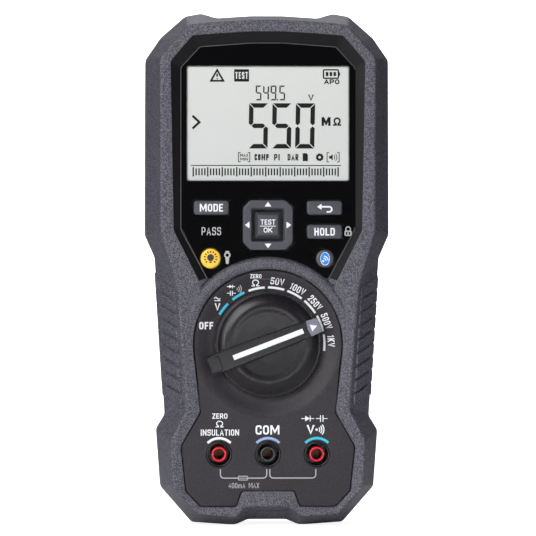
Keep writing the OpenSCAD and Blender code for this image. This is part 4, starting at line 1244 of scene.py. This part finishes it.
def floor_finish():
    """A white floor that is seen bright but throws little light back at the tester."""
    material = finish("floor_white", (0.88, 0.88, 0.88), 0.75, 4, 0.01, 0.01)
    tree = material.node_tree
    bright = tree.nodes["Principled BSDF"]
    feed(tree, bright, {"Emission Color": (1, 1, 1, 1), "Emission Strength": 0.88})
    place = tree.nodes.new("ShaderNodeTexCoord").outputs["Object"]
    reach = tree.nodes.new("ShaderNodeVectorMath")
    reach.operation = "LENGTH"
    tree.links.new(place, reach.inputs[0])
    near = spread(tree, reach.outputs["Value"], 0, 1, 0.1, 0.34)
    tone = two_tone(tree, near, (0.95, 0.95, 0.95), (0.2, 0.2, 0.2))
    by_ray(tree, made(tree, "BsdfDiffuse", "BSDF", {"Color": tone}), bright.outputs["BSDF"],
           "Material Output")
    return material


def studio():
    """A pale floor that sweeps up into a backdrop, soft lights and a plain pale world."""
    sweep = [(-3.0, 0), (2.2, 0)]
    sweep += [(2.2 + 0.8 * math.sin(a), 0.8 - 0.8 * math.cos(a)) for a in
              (math.pi / 2 * i / 12 for i in range(1, 13))]
    sweep += [(3.0, 4.0)]
    mesh = bpy.data.meshes.new("floor")
    points = [(x, y, z - 0.0002) for y, z in sweep for x in (-4, 4)]
    faces = [(2 * i, 2 * i + 1, 2 * i + 3, 2 * i + 2) for i in range(len(sweep) - 1)]
    mesh.from_pydata(points, [], faces)
    mesh.shade_smooth()
    mesh.materials.append(floor_finish())
    floor = in_scene("floor", mesh)
    middle = (0, 0, 0.1)
    area_light("key", (-0.3, -0.62, 0.42), middle, (0.4, 0.4), 3.9)
    area_light("left_strip", (-0.5, -0.54, 0.13), middle, (0.06, 0.42), 1.15)
    area_light("right_fill", (0.7, -0.9, 0.3), middle, (0.3, 0.6), 0.8)
    area_light("low_front", (0, -0.5, 0.02), (0, 0, 0.02), (0.6, 0.03), 0.6)
    area_light("back_wash", (0, 1.3, 2.2), (0, 2.2, 0), (2.4, 1.2), 75)
    world = bpy.data.worlds.new("studio")
    world.use_nodes = True
    tree = world.node_tree
    pale = tree.nodes["Background"]
    feed(tree, pale, {"Color": (1, 1, 1, 1)})
    dim = made(tree, "Background", "Background", {"Color": (1, 1, 1, 1), "Strength": 0.07})
    by_ray(tree, dim, pale.outputs["Background"], "World Output")
    bpy.context.scene.world = world
    bpy.context.scene.view_settings.view_transform = "Standard"


def camera():
    """A long lens square to the face, a little to its left."""
    azimuth, lens, sensor = math.radians(-2), 260, 36
    width = 0.2098         # what the frame spans at the target
    back = Vector((math.sin(azimuth), -math.cos(azimuth), 0))
    data = bpy.data.cameras.new("camera")
    data.lens, data.sensor_width = lens, sensor
    data.clip_start, data.clip_end = 0.05, 20
    obj = in_scene("camera", data)
    aimed(obj, Vector((0.0004, SHOULDER_Y * MM, 0.1004)) + back * width * lens / sensor, -back)
    bpy.context.scene.camera = obj


def soften_fasteners():
    """Rounds the sharp edges of the two fasteners, CAD nodes that stay in view."""
    for node in ("left_fastener", "right_fastener"):
        modifier = frame["nodes"][node].modifiers.new("soft edges", "BEVEL")
        modifier.width = 0.15 * MM
        modifier.segments = 2
        modifier.limit_method = "ANGLE"
        modifier.angle_limit = math.radians(40)


for build in (paint_cad_nodes, studio, camera, front_skin, dial_arch, side_grips, rear_skin,
              back_pads, screw_surrounds, back_plate, bezel, display, keys, nav_keys, lower_face,
              knob, dial_legends, jacks, jack_legends, bezel_legends, battery_door, tilt_stand,
              soften_fasteners):
    build()
